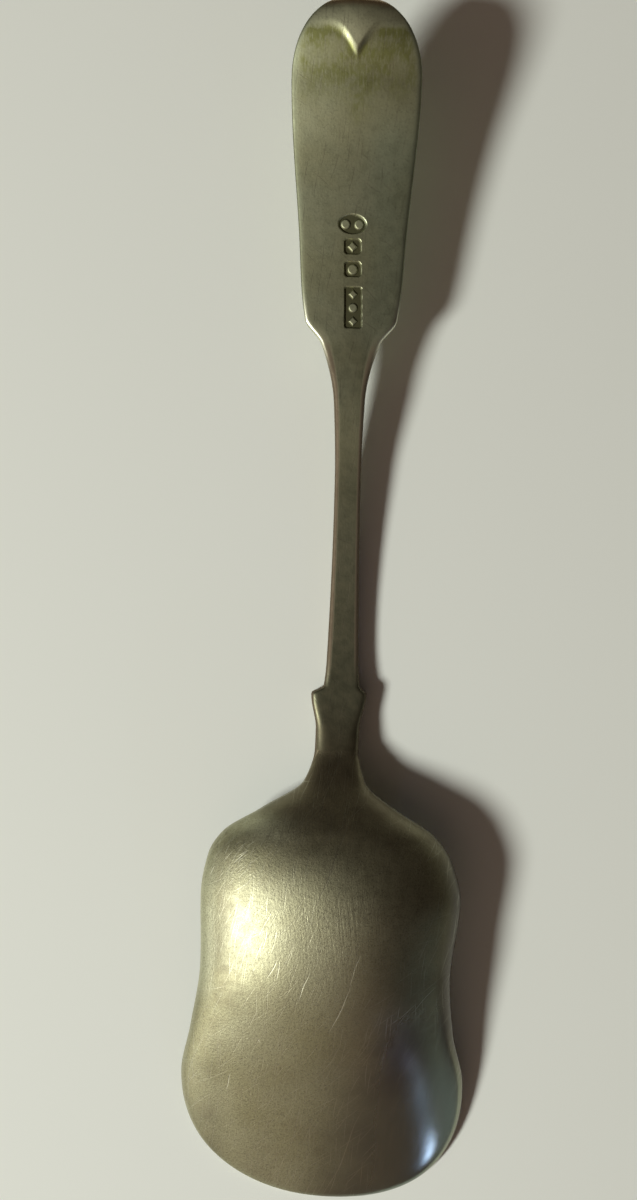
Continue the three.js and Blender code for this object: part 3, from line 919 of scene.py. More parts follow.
def finish_handle(piece, points, sizes):
    """Leaves on the points where the handle is stained, where painted light lies on the pip, where brown
    painted shade lies on the stem's edges, where its shoulders are rubbed with a painted glint, where a
    painted cool reflection lies, and where it is dark.
    """
    x, s = points[:, 0], points[:, 1]
    on_back = on_back_of(piece)
    share = share_at(x, s)
    across = x - LEAN(s)
    below = LENGTH - s - pip_border(across, sizes)
    stain = smooth_step(*STAIN_FROM, below) * smooth_step(*STAIN_TO, below)
    stain *= (1 + BORDER_STAIN * line_of(STAIN_LINE, below)) * smooth_step(*STAIN_INNER, share)
    # Painted light on the pip, kept off the end's rounding.
    painted_pip_light = smooth_step(*PAINTED_PIP_LIGHT_ABOVE, below) * smooth_step(*PAINTED_PIP_LIGHT_FROM_END, LENGTH - s)
    ridge = line_of(RIDGE_LINE, below) * smooth_step(*RIDGE_BESIDE, np.abs(across))
    # The edges, darkened as painted shade in the handle metal.
    rim = smooth_step(*HANDLE_RIM, share)
    flank = smooth_step(*STEM_FLANK, share) * smooth_step(AT["lug"], AT["rest"], s)
    # Brown painted shade over the highlight on the stem's edges and flanks.
    brown_edge_shade_along = smooth_step(AT["shoulder"], AT["bend"] - BROWN_EDGE_SHADE_SHORT, s)
    # Painted cool reflection on the blade's right side.
    cool = smooth_step(*PAINTED_BLADE_REFLECTION_RIGHT, across) * smooth_step(AT["foot"], AT["bend"], s)
    store_values(piece.data, {
        "stain": stain * on_back,
        "roll": smooth_step(*END_ROLL, LENGTH - s),
        # Rubbed shoulders, partly a painted glint.
        "rubbed_and_glint": line_of(SHOULDER_RUBBED_GLINT, s - AT["shoulder"]),
        "brown_edge_shade": np.maximum(rim, flank) * brown_edge_shade_along,
        "rim": rim,
        "painted_pip_light": painted_pip_light * on_back,
        "cool": cool * smooth_step(AT["broad"], AT["palm"], s),
        "tarnish": tarnish(s),
        "patina": np.clip(PATINA(s) + RIDGE_PATINA * ridge * on_back, 0, 1),
    })


def tarnish(s):
    """How brown the metal is: most at the heel, less up the neck."""
    up_the_neck = STEM_TARNISH + (1 - STEM_TARNISH) * smooth_step(AT["stem"], AT["root"], s)
    return smooth_step(AT["lobe"], AT["root"], s) * up_the_neck


def evened(points, sizes):
    """How far the bowl's wall moves when its height is averaged along the spoon, away from the rim."""
    x, s = points[:, 0], points[:, 1]
    slope = (half_width(s + SLOPE_STEP) - half_width(s - SLOPE_STEP)) / (2 * SLOPE_STEP)
    inward = np.maximum(0, half_width(s) - np.abs(x - LEAN(s))) / np.hypot(1, slope)
    reach = sizes.blend_reach * smooth_step(0, EVEN_INWARD * sizes.blend_reach, inward)
    reach *= smooth_step(AT["neck"], AT["heel"], s)
    places_near = np.arange(-EVEN_STEPS, EVEN_STEPS + 1) / (EVEN_STEPS + 1)
    weights = 1 + np.cos(math.pi * places_near)
    total = sum(weight * back_height(x, s + near * reach) for near, weight in zip(places_near, weights))
    return total / weights.sum() - back_height(x, s)


def shape_bowl(points, sizes):
    """Gives the raised bowl the gentle unevenness of hand work and a few small dents."""
    x, s = points[:, 0], points[:, 1]
    calm = smooth_step(*BOWL_CALM, share_at(x, s)) * smooth_step(AT["root"], AT["cheek"], s)
    calm *= smooth_step(0, sizes.calm_edge, s)
    uneven = unevenness(points, BOWL_WAVES_SEED, sizes.bowl_wave, sizes.bowl_unevenness) * calm
    dented = dents(points, BOWL_DENTS_SEED, sizes.bowl_dents, AT["flank"], AT["cheek"],
                   sizes.dent_depth, sizes.dent_reach) * calm
    points[:, 2] += evened(points, sizes) + uneven - dented
    points[:, 2] = np.maximum(points[:, 2], sizes.wear)


def line_of(line, away):
    """A soft line: its middle and its reach to either side."""
    middle, reach = line
    return np.exp(-((away - middle) / reach) ** 2)


def patch(points, name):
    """A soft round patch on the bowl."""
    across, along, wide, long = (value * MM for value in PATCHES[name])
    return line_of((across, wide), points[:, 0]) * line_of((along, long), points[:, 1])


def patches(points, amounts):
    return sum(amount * patch(points, name) for name, amount in amounts.items())


def finish_bowl(piece, points):
    """Leaves on the points where the bowl is polished, brushed and tarnished, and where painted light and
    painted shade lie.
    """
    x, s = points[:, 0], points[:, 1]
    on_back = on_back_of(piece)
    share = share_at(x, s)
    rim = smooth_step(*BOWL_RIM, share)
    right = smooth_step(*BOWL_RIGHT, x) * smooth_step(AT["heel"], AT["lobe"], s)
    left = smooth_step(*BOWL_LEFT, x)
    inner = smooth_step(*PAINTED_LIGHT_INNER, x) * smooth_step(*PAINTED_LIGHT_OUTER, x)
    # Painted light: less patina and tarnish on the lit left, at the cheek and below the highlight.
    kept_under_painted_light = 1 - PAINTED_LIGHT_CHEEK * left * smooth_step(AT["waist"], AT["cheek"], s)
    kept_under_painted_light *= 1 - PAINTED_LIGHT_THROAT * inner * smooth_step(AT["waist"], AT["throat"], s)
    # Painted cool reflection low on the right.
    film_and_painted_light = right * smooth_step(*PAINTED_REFLECTION_ALONG, s)
    side = left * smooth_step(*PAINTED_LIGHT_EDGE, share) * smooth_step(*PAINTED_LIGHT_ALONG, s)
    # Painted highlight and sheen in patches on the lit left and the middle, a painted reflection at the low
    # right edge, and painted light along the lit left edge.
    painted_light = patches(points, PAINTED_LIGHT_PATCHES) + PAINTED_REFLECTION_LOW_RIGHT * film_and_painted_light * smooth_step(*PAINTED_REFLECTION_RIGHT, x)
    painted_light += PAINTED_LIGHT_LEFT * side * smooth_step(AT["turn"], AT["lobe"], s)
    # Painted shade along the right edge and on the right flank.
    painted_shade = right * (1 - film_and_painted_light) * smooth_step(*PAINTED_SHADE_EDGE, share) + right * rim
    painted_shade += patches(points, PAINTED_DARK_PATCHES)
    # Patina along the middle, with painted shade on the right side, the flank and the heel.
    patina = PATINA(s) * kept_under_painted_light + RIGHT_PAINTED_SHADE * right + patches(points, PAINTED_SHADE_PATCHES)
    store_values(piece.data, {
        "right": right,
        "polish": right * smooth_step(AT["lobe"], AT["flare"], s),
        "brushed_and_sheen": patch(points, "brushed_and_sheen"),
        "combed": patch(points, "combed"),
        "scuffed": patch(points, "scuffed"),
        "painted_light": np.clip(painted_light, 0, 1) * on_back,
        "film_and_painted_light": film_and_painted_light * on_back,
        "painted_shade": np.clip(painted_shade, 0, 1) * on_back,
        "coarse": (1 - right) * smooth_step(AT["turn"], AT["lobe"], s),
        "patina": np.clip(patina, 0, 1),
        "rim": rim,
        "tarnish": tarnish(s) * kept_under_painted_light,
    })


def length(label, about, millimetres):
    return bpy.props.FloatProperty(
        name=label, description=about, default=millimetres * MM, min=0.0,
        unit="LENGTH", precision=5)


def count(label, about, number):
    return bpy.props.IntProperty(name=label, description=about, default=number, min=0)


def share(label, about, value):
    return bpy.props.FloatProperty(
        name=label, description=about, default=value, min=0.0, max=1.0, subtype="FACTOR")


def colour(label, about, value):
    return bpy.props.FloatVectorProperty(
        name=label, description=about, default=value, size=3, min=0.0, max=1.0, subtype="COLOR")


class SpoonSizes(bpy.types.PropertyGroup):
    gauge: length("Bowl gauge", "Thickness of the bowl's metal", 1.2)
    rim_round: length("Rim rounding", "Rounding of the rim under the bowl", 0.3)
    edge_round: length("Edge rounding", "Rounding of the edge at either end", 1.3)
    hollow_fade: length("Hollow fade", "Length over which the hollow runs out to the neck", 9.0)
    end_roll: length("End rolling", "Rounding of the edge at the handle's end", 1.7)
    wear: length("Wear flat", "Depth worn off where the spoon rests on the table", 0.12)
    solder_film: length("Solder film", "Thickness of the solder in the scarf joint", 0.2)
    scarf_nose: length("Scarf nose", "Height of the blunt ends of the scarf joint", 0.4)
    scarf_rise: length("Scarf rise", "Height of the joint above the middle of the neck", 1.2)
    pip_rise: length("Pip height", "How far the pip stands up", 0.3)
    pip_lip: length("Pip lip", "Width of the raised lip at the handle's end", 4.8)
    pip_drop: length("Pip drop", "How far the point of the pip reaches past the lip", 3.7)
    pip_half_width: length("Pip half width", "Half width of the pip's point", 2.0)
    pip_curve: bpy.props.FloatProperty(
        name="Pip curve", description="Fullness of the pip's sides", default=1.5, min=0.5)
    pip_softness: length("Pip softness", "Width of the slope at the pip's border", 1.8)
    pip_spread: length("Pip spread", "How far from the middle the lip dies away", 5.0)
    mark_depth: length("Mark depth", "Depth of the punch marks", 0.35)
    mark_lean: length("Mark offset", "How far the marks stand beside the middle line", 0.3)
    mark_skew: share("Mark skew", "Slope of the row of marks off the middle line", 0.032)
    mark_border: length("Mark border", "Sunk border round each raised figure", 0.4)
    mark_softness: length("Mark softness", "Half the width of a mark's sloping wall", 0.12)
    mark_margin: length("Mark margin", "Fine mesh kept round the marks", 0.6)
    figure_height: share("Figure height", "Height of the figures in the marks", 0.65)
    oval_from_end: length("Oval place", "Oval mark from the handle's end", 34.4)
    oval_across: length("Oval across", "Width of the oval mark", 4.6)
    oval_along: length("Oval along", "Length of the oval mark", 3.1)
    first_square_from_end: length("First square place", "First square mark from the end", 38.0)
    second_square_from_end: length("Second square place", "Second square mark from the end", 41.7)
    square_across: length("Square across", "Width of the square marks", 2.8)
    square_along: length("Square along", "Length of the square marks", 2.45)
    square_corner: length("Square corner", "Rounding of the square marks", 0.6)
    oblong_from_end: length("Oblong place", "Oblong mark from the handle's end", 48.0)
    oblong_across: length("Oblong across", "Width of the oblong mark", 2.9)
    oblong_along: length("Oblong along", "Length of the oblong mark", 6.7)
    oblong_corner: length("Oblong corner", "Rounding of the oblong mark", 0.3)
    blend_reach: length("Blend reach", "How far along the bowl its curves are evened out", 8.0)
    bowl_unevenness: length("Bowl unevenness", "Height of the bowl's gentle waves", 0.018)
    bowl_wave: length("Bowl wave", "Length of the bowl's gentle waves", 13.0)
    handle_unevenness: length("Handle unevenness", "Height of the handle's waves", 0.008)
    handle_wave: length("Handle wave", "Length of the handle's waves", 9.0)
    calm_edge: length("Calm edge", "Even stretch beside the bowl's tip", 4.0)
    dent_depth: length("Dent depth", "Depth of the small dents", 0.02)
    dent_reach: length("Dent reach", "Radius of the small dents", 0.9)
    bowl_dents: count("Bowl dents", "Number of small dents in the bowl", 16)
    handle_dents: count("Handle dents", "Number of small dents in the handle", 10)
    tip_rows: count("Tip rows", "Rows of the mesh from the tip to the flare", 76)
    end_rows: count("End rows", "Rows of the mesh in the rounding of the handle's end", 10)
    bowl_spacing: length("Bowl rows", "Spacing of the rows over the bowl", 0.42)
    neck_spacing: length("Neck rows", "Spacing of the rows in the neck", 0.32)
    stem_spacing: length("Stem rows", "Spacing of the rows along the stem", 0.8)
    pip_spacing: length("Pip rows", "Spacing of the rows over the pip", 0.15)
    mark_spacing: length("Mark rows", "Spacing of the rows over the marks", 0.09)
    mark_column: length("Mark columns", "Spacing of the columns over the marks", 0.08)
    plain_column: length("Plain columns", "Spacing of the columns beside the marks", 0.36)
    edge_share: share("Edge share", "Where the columns close up towards the edge", 0.9)
    edge_columns: count("Edge columns", "Columns in the rounding of each edge", 12)
    bowl_columns: count("Bowl columns", "Columns across the bowl", 150)
    front_columns: count("Front columns", "Columns across the handle's front", 56)
    weld: length("Weld", "Points closer than this become one", 0.0002)


class SpoonColours(bpy.types.PropertyGroup):
    metal: colour("Metal", "Worn nickel silver of the bowl", (0.372, 0.364, 0.212))
    pale: colour("Pale metal", "Where the bowl's plating is left", (0.42, 0.42, 0.27))
    worn: colour("Handle metal", "Worn nickel silver of the handle", (0.50, 0.53, 0.325))
    worn_pale: colour("Pale handle metal", "Where the handle's plating is left", (0.55, 0.60, 0.40))
    # On the handle this also darkens the edges as painted shade.
    film_and_painted_light: colour("Handle film", "Dark green film of age on the handle", (0.15, 0.158, 0.105))
    # On the bowl this also lays painted shade on the right side, the flank and the heel.
    patina: colour("Patina", "Dark olive film of age", (0.16, 0.152, 0.10))
    fresh: colour("Fresh metal", "Scratches and rubbed edges", (0.78, 0.79, 0.63))
    brown: colour("Brown tarnish", "Old tarnish at the heel and in the neck", (0.20, 0.15, 0.09))
    green: colour("Green stain", "Stain below the pip", (0.28, 0.30, 0.115))
    # Browns the rounding of the handle's end, where it turns down.
    umber: colour("Umber", "Brown film on the rounding of the handle's end", (0.45, 0.30, 0.16))
    grime: colour("Grime", "Dark residue in the marks", (0.06, 0.056, 0.022))
    # Painted light on the pip, where the curving end catches light.
    painted_pip_light_colour: colour("Plating", "Silver plating left on the pip", (0.68, 0.72, 0.48))
    # Painted shade: dull brown that darkens the highlight on the stem's edges.
    brown_edge_shade: colour("Rust", "Dull brown along the edges of the stem", (0.20, 0.155, 0.11))
    # Painted cool reflection on the blade's right side.
    painted_blade_reflection: colour("Cool metal", "Cooler metal on the blade's right side", (0.52, 0.68, 0.50))
    solder: colour("Solder", "Hard solder in the joint", (0.30, 0.27, 0.19))
    # Painted cool reflection low on the bowl's right side.
    painted_cool_reflection: colour("Cool film", "Bluish film low on the bowl's right side", (0.21, 0.255, 0.215))
    # Painted light: highlight, sheen and reflection laid on the bowl.
    bright: colour("Bright metal", "Where the bowl is rubbed bright", (0.69, 0.71, 0.50))
    # Painted shade along the bowl's right edge and on its right flank.
    painted_shade: colour("Edge film", "Dark film along the bowl's right edge", (0.10, 0.09, 0.075))
    floor: colour("Floor", "Plain pale floor", (0.83, 0.87, 0.81))


class SpoonStage(bpy.types.PropertyGroup):
    camera_height: length("Camera height", "Height of the camera above the floor", 200.0)
    lens: bpy.props.FloatProperty(name="Lens", description="Focal length in millimetres", default=33.3)
    key_power: bpy.props.FloatProperty(
        name="Main lamp", description="Power of the soft lamp on the left", default=14.0, unit="POWER")
    key_size: length("Main lamp size", "Width of the soft lamp", 255.0)
    cool_power: bpy.props.FloatProperty(
        name="Cool lamp", description="Power of the weak cool lamp", default=0.25, unit="POWER")
    cool_size: length("Cool lamp size", "Width of the cool lamp", 60.0)


class Place(Value):
    """A place in a node tree, which can be moved, stretched and turned, and where noise is read."""

    def worked(self, operation, other):
        made = node(self.tree, "ShaderNodeVectorMath", {0: self, 1: other}, operation=operation)
        return Place(self.tree, made.outputs[0])

    def shifted(self, offset):
        return self.worked("ADD", offset)

    def scaled(self, factors):
        return self.worked("MULTIPLY", factors)

    def turned(self, angle):
        made = node(self.tree, "ShaderNodeVectorRotate", {"Vector": self, "Angle": angle},
                    rotation_type="Z_AXIS")
        return Place(self.tree, made.outputs[0])

    def along(self, way):
        """How far the place lies along a way of length 1."""
        made = node(self.tree, "ShaderNodeVectorMath", {0: self, 1: way}, operation="DOT_PRODUCT")
        return Value(self.tree, made.outputs["Value"])

    def parts(self):
        made = node(self.tree, "ShaderNodeSeparateXYZ", {0: self})
        return [Value(self.tree, socket) for socket in made.outputs]

    def noise(self, scale, detail=3.0, roughness=0.6, flat=False):
        made = node(self.tree, "ShaderNodeTexNoise", {
            "Vector": self, "Scale": scale, "Detail": detail, "Roughness": roughness,
        }, noise_dimensions="2D" if flat else "3D")
        return Value(self.tree, made.outputs["Fac"])

    def grain(self, factors, detail=3.0, roughness=0.6):
        """Noise that is stretched along the spoon."""
        return self.scaled(factors).noise(1.0, detail, roughness, flat=True)


def mixed(tree, factor, first, second):
    made = node(tree, "ShaderNodeMix", {0: factor}, data_type="RGBA")
    for socket, value in ((made.inputs[6], first), (made.inputs[7], second)):
        feed(tree, socket, value if isinstance(value, bpy.types.NodeSocket) else (*value, 1.0))
    return made.outputs[2]


def tapered(way):
    """Runs from 0 at the start of a stroke through 1 to 0 at its end."""
    return way * (1.0 - way) * 4.0


def hairlines(place, kinds):
    """Several kinds of fine scratches over each other."""
    return reduce(Value.at_least, [hairline_kind(place, *kind) for kind in kinds])


def hairline_kind(place, spacing, reach, width, lean, cover, seed):
    """Separate fine scratches, one at most to a cell, each with its own place, lean and depth."""
    tree = place.tree
    drift = place.shifted((seed, 0, 0)).noise(WANDER_SCALE, 1.0, 0.5, flat=True) - 0.5
    across, up, _ = place.shifted((0, seed, 0)).turned(lean).parts()
    across = (across + drift * WANDER) / (spacing * MM)
    lane = math.floor(across)
    start = node(tree, "ShaderNodeTexWhiteNoise", {"W": lane}, noise_dimensions="1D")
    along = Value(tree, start.outputs["Value"]) * LANE_SPREAD + up / (reach * MM)
    cell = math.floor(along)
    spot = node(tree, "ShaderNodeCombineXYZ", {"X": lane, "Y": cell, "Z": seed}).outputs[0]
    chance = node(tree, "ShaderNodeTexWhiteNoise", {"Vector": spot}, noise_dimensions="3D")
    offset, slant, strength = Place(tree, chance.outputs["Color"]).parts()
    way = along - cell
    # The scratch leans as it goes, but keeps clear of the lanes beside it.
    middle = offset * 0.5 + ((slant - 0.5) * (way - 0.5) + 0.25)
    away = abs(across - lane - middle) * (spacing * MM)
    core = away.ramp(0.0, width * MM, 1.0, 0.0)
    return core * tapered(way) * strength.ramp(1.0 - cover, 1.0)


def long_strokes(place):
    """The few longest scratches across the bowl, each from one place to another."""
    wobble = (place.noise(WOBBLE_SCALE, 1.0, 0.5) - 0.5) * WOBBLE
    strokes = []
    for x1, y1, x2, y2 in LONG_SCRATCHES:
        start = Vector((x1, y1, 0)) * MM
        way = Vector((x2, y2, 0)) * MM - start
        reach = way.length
        way.normalize()
        offset = place.shifted(tuple(-start))
        taper = tapered(offset.along(tuple(way)) / reach).at_least(0.0)
        away = abs(offset.along((-way.y, way.x, 0)) + wobble)
        strokes.append(away.ramp(0.0, LONG_SCRATCH_WIDTH, 1.0, 0.0) * taper)
    return reduce(Value.at_least, strokes)


class Metal:
    """A worn metal's node tree, whose colour is laid on in coats."""

    def __init__(self, name):
        self.material = bpy.data.materials.new(name)
        self.material.use_nodes = True
        self.tree = self.material.node_tree
        self.tree.nodes.clear()
        self.shader = node(self.tree, "ShaderNodeBsdfPrincipled", {"Metallic": 1.0})
        out = self.tree.nodes.new("ShaderNodeOutputMaterial")
        self.tree.links.new(self.shader.outputs[0], out.inputs["Surface"])
        self.place = Place(self.tree, self.tree.nodes.new("ShaderNodeTexCoord").outputs["Object"])
        self.colour = None

    def finish(self, key):
        """A value that was left on the piece's points."""
        made = node(self.tree, "ShaderNodeAttribute", attribute_name=key)
        return Value(self.tree, made.outputs["Fac"])

    def base(self, first, second, share):
        self.colour = mixed(self.tree, share, first, second)

    def coat(self, colour, amount):
        self.colour = mixed(self.tree, amount, self.colour, colour)

    def complete(self, roughness, height, bump_depth=BUMP_DEPTH):
        feed(self.tree, self.shader.inputs["Base Color"], self.colour)
        feed(self.tree, self.shader.inputs["Roughness"], roughness)
        bump = node(self.tree, "ShaderNodeBump", {"Height": height, "Distance": bump_depth})
        feed(self.tree, self.shader.inputs["Normal"], bump.outputs[0])
        return self.material


def bowl_metal(colours):
    """Brushed and scratched metal, filmed with age towards the neck and polished low on the right, with
    painted highlights, painted shade and a painted cool reflection.
    """
    metal = Metal("bowl_metal")
    place = metal.place
    smudge = place.shifted(SMUDGES_AT).noise(SMUDGES, 4.0)
    mottle = place.noise(MOTTLE, 4.0)
    pits = place.noise(PITS)
    sand = place.noise(SAND, 2.0, 0.7)
    streak = place.turned(STREAK_TURN).grain(BOWL_STREAKS)
    flecks = place.grain(BOWL_FLECKS).ramp(0.42, 0.62) * (metal.finish("brushed_and_sheen") * 0.85 + 0.15)
    line = hairlines(place, BOWL_HAIRLINES)
    scuff = metal.finish("scuffed") * hairlines(place, SCUFF_HAIRLINES)
    stroke = long_strokes(place)
    right = metal.finish("right")
    polish = metal.finish("polish")
    rim = metal.finish("rim")
    unpolished = 1.0 - polish

    metal.base(colours.metal, colours.pale, place.noise(BOWL_CLOUDS, 3.0, 0.5).ramp(0.3, 0.7))
    # Patina, with painted shade on the right side, the flank and the heel, thinned by painted light on the
    # lit left.
    metal.coat(colours.patina, (metal.finish("patina") * smudge.ramp(0.3, 0.7, 0.7, 1.1)).at_most(0.95))
    metal.coat(colours.brown, smudge.ramp(0.5, 0.8, top=0.2))
    metal.coat(colours.brown, mottle.ramp(0.35, 0.7, top=0.18))
    metal.coat(colours.patina, pits.ramp(0.5, 0.75, top=0.5))
    # Tarnish, thinned by painted light on the lit left.
    metal.coat(colours.brown, metal.finish("tarnish") * 0.4)
    # Painted cool reflection low on the right.
    metal.coat(colours.painted_cool_reflection, metal.finish("film_and_painted_light") * 0.8)
    # Painted shade on the right edge and flank.
    metal.coat(colours.painted_shade, metal.finish("painted_shade"))
    # Painted highlight and sheen.
    metal.coat(colours.bright, metal.finish("painted_light") * smudge.ramp(0.3, 0.6, 0.7, 1.1))
    metal.coat(colours.patina, sand.ramp(0.5, 0.66, top=0.6) * unpolished)
    metal.coat(colours.fresh, line * 0.2)
    metal.coat(colours.fresh, scuff * 0.5)
    metal.coat(colours.fresh, stroke * 0.6)
    # The worn rim, lighter on the lit left than on the right: wear, and painted light.
    metal.coat(colours.fresh, rim * (0.3 - right * 0.3))

    rough = mottle.ramp(0.3, 0.7, -0.03, 0.03) * unpolished + 0.5 + metal.finish("coarse") * 0.035
    rough = rough - right * 0.12 - polish * 0.19 - line * unpolished * 0.1 + rim * (0.12 - right * 0.2)
    height = pits * 1.9 + sand * 0.8 + flecks * 0.4 + streak * (metal.finish("combed") * 2.2 + 0.7)
    height = height - line * 0.5 - scuff * 0.9 - stroke
    calm = (1.0 - right * 0.65) * (1.0 - polish * 0.9)
    return metal.complete(rough, height * calm, BOWL_BUMP_DEPTH)


def handle_metal(colours):
    """Worn metal with painted light on the pip, a green stain below it, brown painted shade on its edges
    and a painted cool reflection on the blade's right.
    """
    metal = Metal("handle_metal")
    place = metal.place
    mottle = place.noise(MOTTLE, 4.0)
    pits = place.noise(PITS)
    streak = place.grain(HANDLE_STREAKS, 5.0, 0.65)
    line = hairlines(place, HANDLE_HAIRLINES)
    patchy = streak.ramp(0.3, 0.6, bottom=0.35) * place.noise(BLOTCHES).ramp(0.38, 0.6, bottom=0.35)
    struck = metal.finish("struck")
    brown_edge_shade = metal.finish("brown_edge_shade")
    rim = metal.finish("rim")
    rubbed_and_glint = rim * metal.finish("rubbed_and_glint")

    metal.base(colours.worn, colours.worn_pale, place.noise(HANDLE_CLOUDS, 3.0, 0.55).ramp(0.3, 0.7))
    # Painted cool reflection on the blade's right.
    metal.coat(colours.painted_blade_reflection, metal.finish("cool") * 0.35)
    # Painted light on the pip.
    metal.coat(colours.painted_pip_light_colour, metal.finish("painted_pip_light") * 0.9)
    metal.coat(colours.film_and_painted_light, metal.finish("patina") * 0.9)
    metal.coat(colours.brown, mottle.ramp(0.35, 0.7, top=0.2))
    metal.coat(colours.film_and_painted_light, pits.ramp(0.5, 0.7, top=0.25))
    metal.coat(colours.brown, metal.finish("tarnish") * 0.5)
    metal.coat(colours.green, metal.finish("stain") * patchy)
    metal.coat(colours.umber, metal.finish("roll") * 0.75)
    metal.coat(colours.fresh, line * 0.15)
    # Painted shade darkening the edges.
    metal.coat(colours.film_and_painted_light, rim * 0.7)
    # Brown painted shade over the stem edges' highlight.
    metal.coat(colours.brown_edge_shade, brown_edge_shade * 0.85)
    # Rubbed shoulders, lightened as a painted glint.
    metal.coat(colours.fresh, rubbed_and_glint * 0.95)
    metal.coat(colours.grime, struck.ramp(0.45, 0.95, top=0.85))

    rough = mottle.ramp(0.3, 0.7, 0.42, 0.48) - line * 0.1 + rim * 0.1 - rubbed_and_glint * 0.22
    rough = rough + brown_edge_shade * 0.3 + struck * 0.2
    return metal.complete(rough, pits * 0.9 + streak * 0.6 - line * 0.35)


def solder_metal(colours):
    """Dull hard solder, browned in spots."""
    metal = Metal("solder")
    mottle = metal.place.noise(SOLDER_MOTTLE)
    metal.base(colours.solder, colours.brown, mottle.ramp(0.35, 0.65, top=0.5))
    return metal.complete(mottle.ramp(0.3, 0.7, 0.5, 0.65), mottle)


def stand_in(piece, node_name):
    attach(piece, "root")
    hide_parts(node_name)


class SPOON_OT_bowl(bpy.types.Operator):
    """Raise the shovel bowl, with its hollow, rim and tang"""
    bl_idname = "spoon.bowl"
    bl_label = "Bowl"

    def execute(self, context):
        sizes = context.scene.spoon_sizes
        shares = cosine_shares(sizes.bowl_columns)
        metal = bowl_metal(context.scene.spoon_colours)
        piece = swept_piece("raised_bowl", bowl_rows(sizes), sizes, shares, shares, metal)
        points = points_of(piece.data)
        shape_bowl(points, sizes)
        finish_bowl(piece, points)
        settle(piece, points, sizes, SHARP_ABOVE)
        stand_in(piece, "bowl")
        return {"FINISHED"}


class SPOON_OT_solder_seam(bpy.types.Operator):
    """Lay the film of hard solder in the scarf joint"""
    bl_idname = "spoon.solder_seam"
    bl_label = "Solder Seam"

    def execute(self, context):
        sizes = context.scene.spoon_sizes
        shares = cosine_shares(sizes.front_columns)
        metal = solder_metal(context.scene.spoon_colours)
        piece = swept_piece("scarf_solder", seam_rows(sizes), sizes, shares, shares, metal)
        settle(piece, points_of(piece.data), sizes, SEAM_SHARP_ABOVE)
        stand_in(piece, "solder_seam")
        return {"FINISHED"}


class SPOON_OT_handle(bpy.types.Operator):
    """Forge the handle, with its lugs, stem, fiddle blade, pip and punch marks"""
    bl_idname = "spoon.handle"
    bl_label = "Handle"

    def execute(self, context):
        sizes = context.scene.spoon_sizes
        metal = handle_metal(context.scene.spoon_colours)
        piece = swept_piece(
            "fiddle_handle", handle_rows(sizes), sizes, handle_shares(sizes),
            cosine_shares(sizes.front_columns), metal)
        points = points_of(piece.data)
        stamp_handle(piece, points, sizes)
        finish_handle(piece, points, sizes)
        settle(piece, points, sizes, SHARP_ABOVE)
        stand_in(piece, "handle")
        return {"FINISHED"}


# The camera looks straight down from beside the middle; the spoon stands a little askew below it.
CAMERA_FOOT = (-3.50 * MM, 4.51 * MM)
CAMERA_TURN = math.radians(1.94)
SENSOR = 36.0

# Where the lamps and the soft light of the room come from, and their colours.
KEY_TOWARDS = (-1.13, -0.56, 1.0)
KEY_TINT = (1.0, 1.0, 0.95)
COOL_TOWARDS = (0.41, -0.86, 0.29)
COOL_TINT = (0.36, 0.45, 0.80)
SOFT_SIDE = (-0.45, -0.78, 0.44)
COOL_SIDE = (0.70, -0.66, 0.27)
ROOM_TINT = (1.0, 0.67, 0.50)
COOL_ROOM_TINT = (0.75, 0.9, 1.0)
BACKDROP_STRENGTH = 0.7

# Lengths of the stage in metres, and the floor's dull finish.
LAMP_DISTANCE = 1.2
CLIPPING = (0.01, 20.0)
FLOOR_SIZE = 6.0
FLOOR_ROUGHNESS = 0.9
FLOOR_SHINE = 0.2


def lamp(name, towards, power, size, tint):
    data = bpy.data.lights.new(name, "AREA")
    data.shape = "DISK"
    data.size = size
    data.energy = power
    data.color = tint
    made = bpy.data.objects.new(name, data)
    direction = Vector(towards).normalized()
    made.location = direction * LAMP_DISTANCE
    made.rotation_euler = direction.to_track_quat("Z", "Y").to_euler()
    bpy.context.scene.collection.objects.link(made)


def floor_finish(colours):
    material = bpy.data.materials.new("pale_floor")
    material.use_nodes = True
    shader = material.node_tree.nodes["Principled BSDF"]
    shader.inputs["Base Color"].default_value = (*colours.floor, 1.0)
    shader.inputs["Roughness"].default_value = FLOOR_ROUGHNESS
    shader.inputs["Specular IOR Level"].default_value = FLOOR_SHINE
    return material


def make_floor(colours):
    mesh = bpy.data.meshes.new("floor")
    half = FLOOR_SIZE / 2
    mesh.from_pydata([(-half, -half, 0), (half, -half, 0), (half, half, 0), (-half, half, 0)], [],
                     [(0, 1, 2, 3)])
    mesh.materials.append(floor_finish(colours))
    floor = bpy.data.objects.new("floor", mesh)
    floor.location.z = CAD_BOX[0].z
    bpy.context.scene.collection.objects.link(floor)


def background(tree, tint, strength):
    return node(tree, "ShaderNodeBackground", {"Color": (*tint, 1.0), "Strength": strength}).outputs[0]


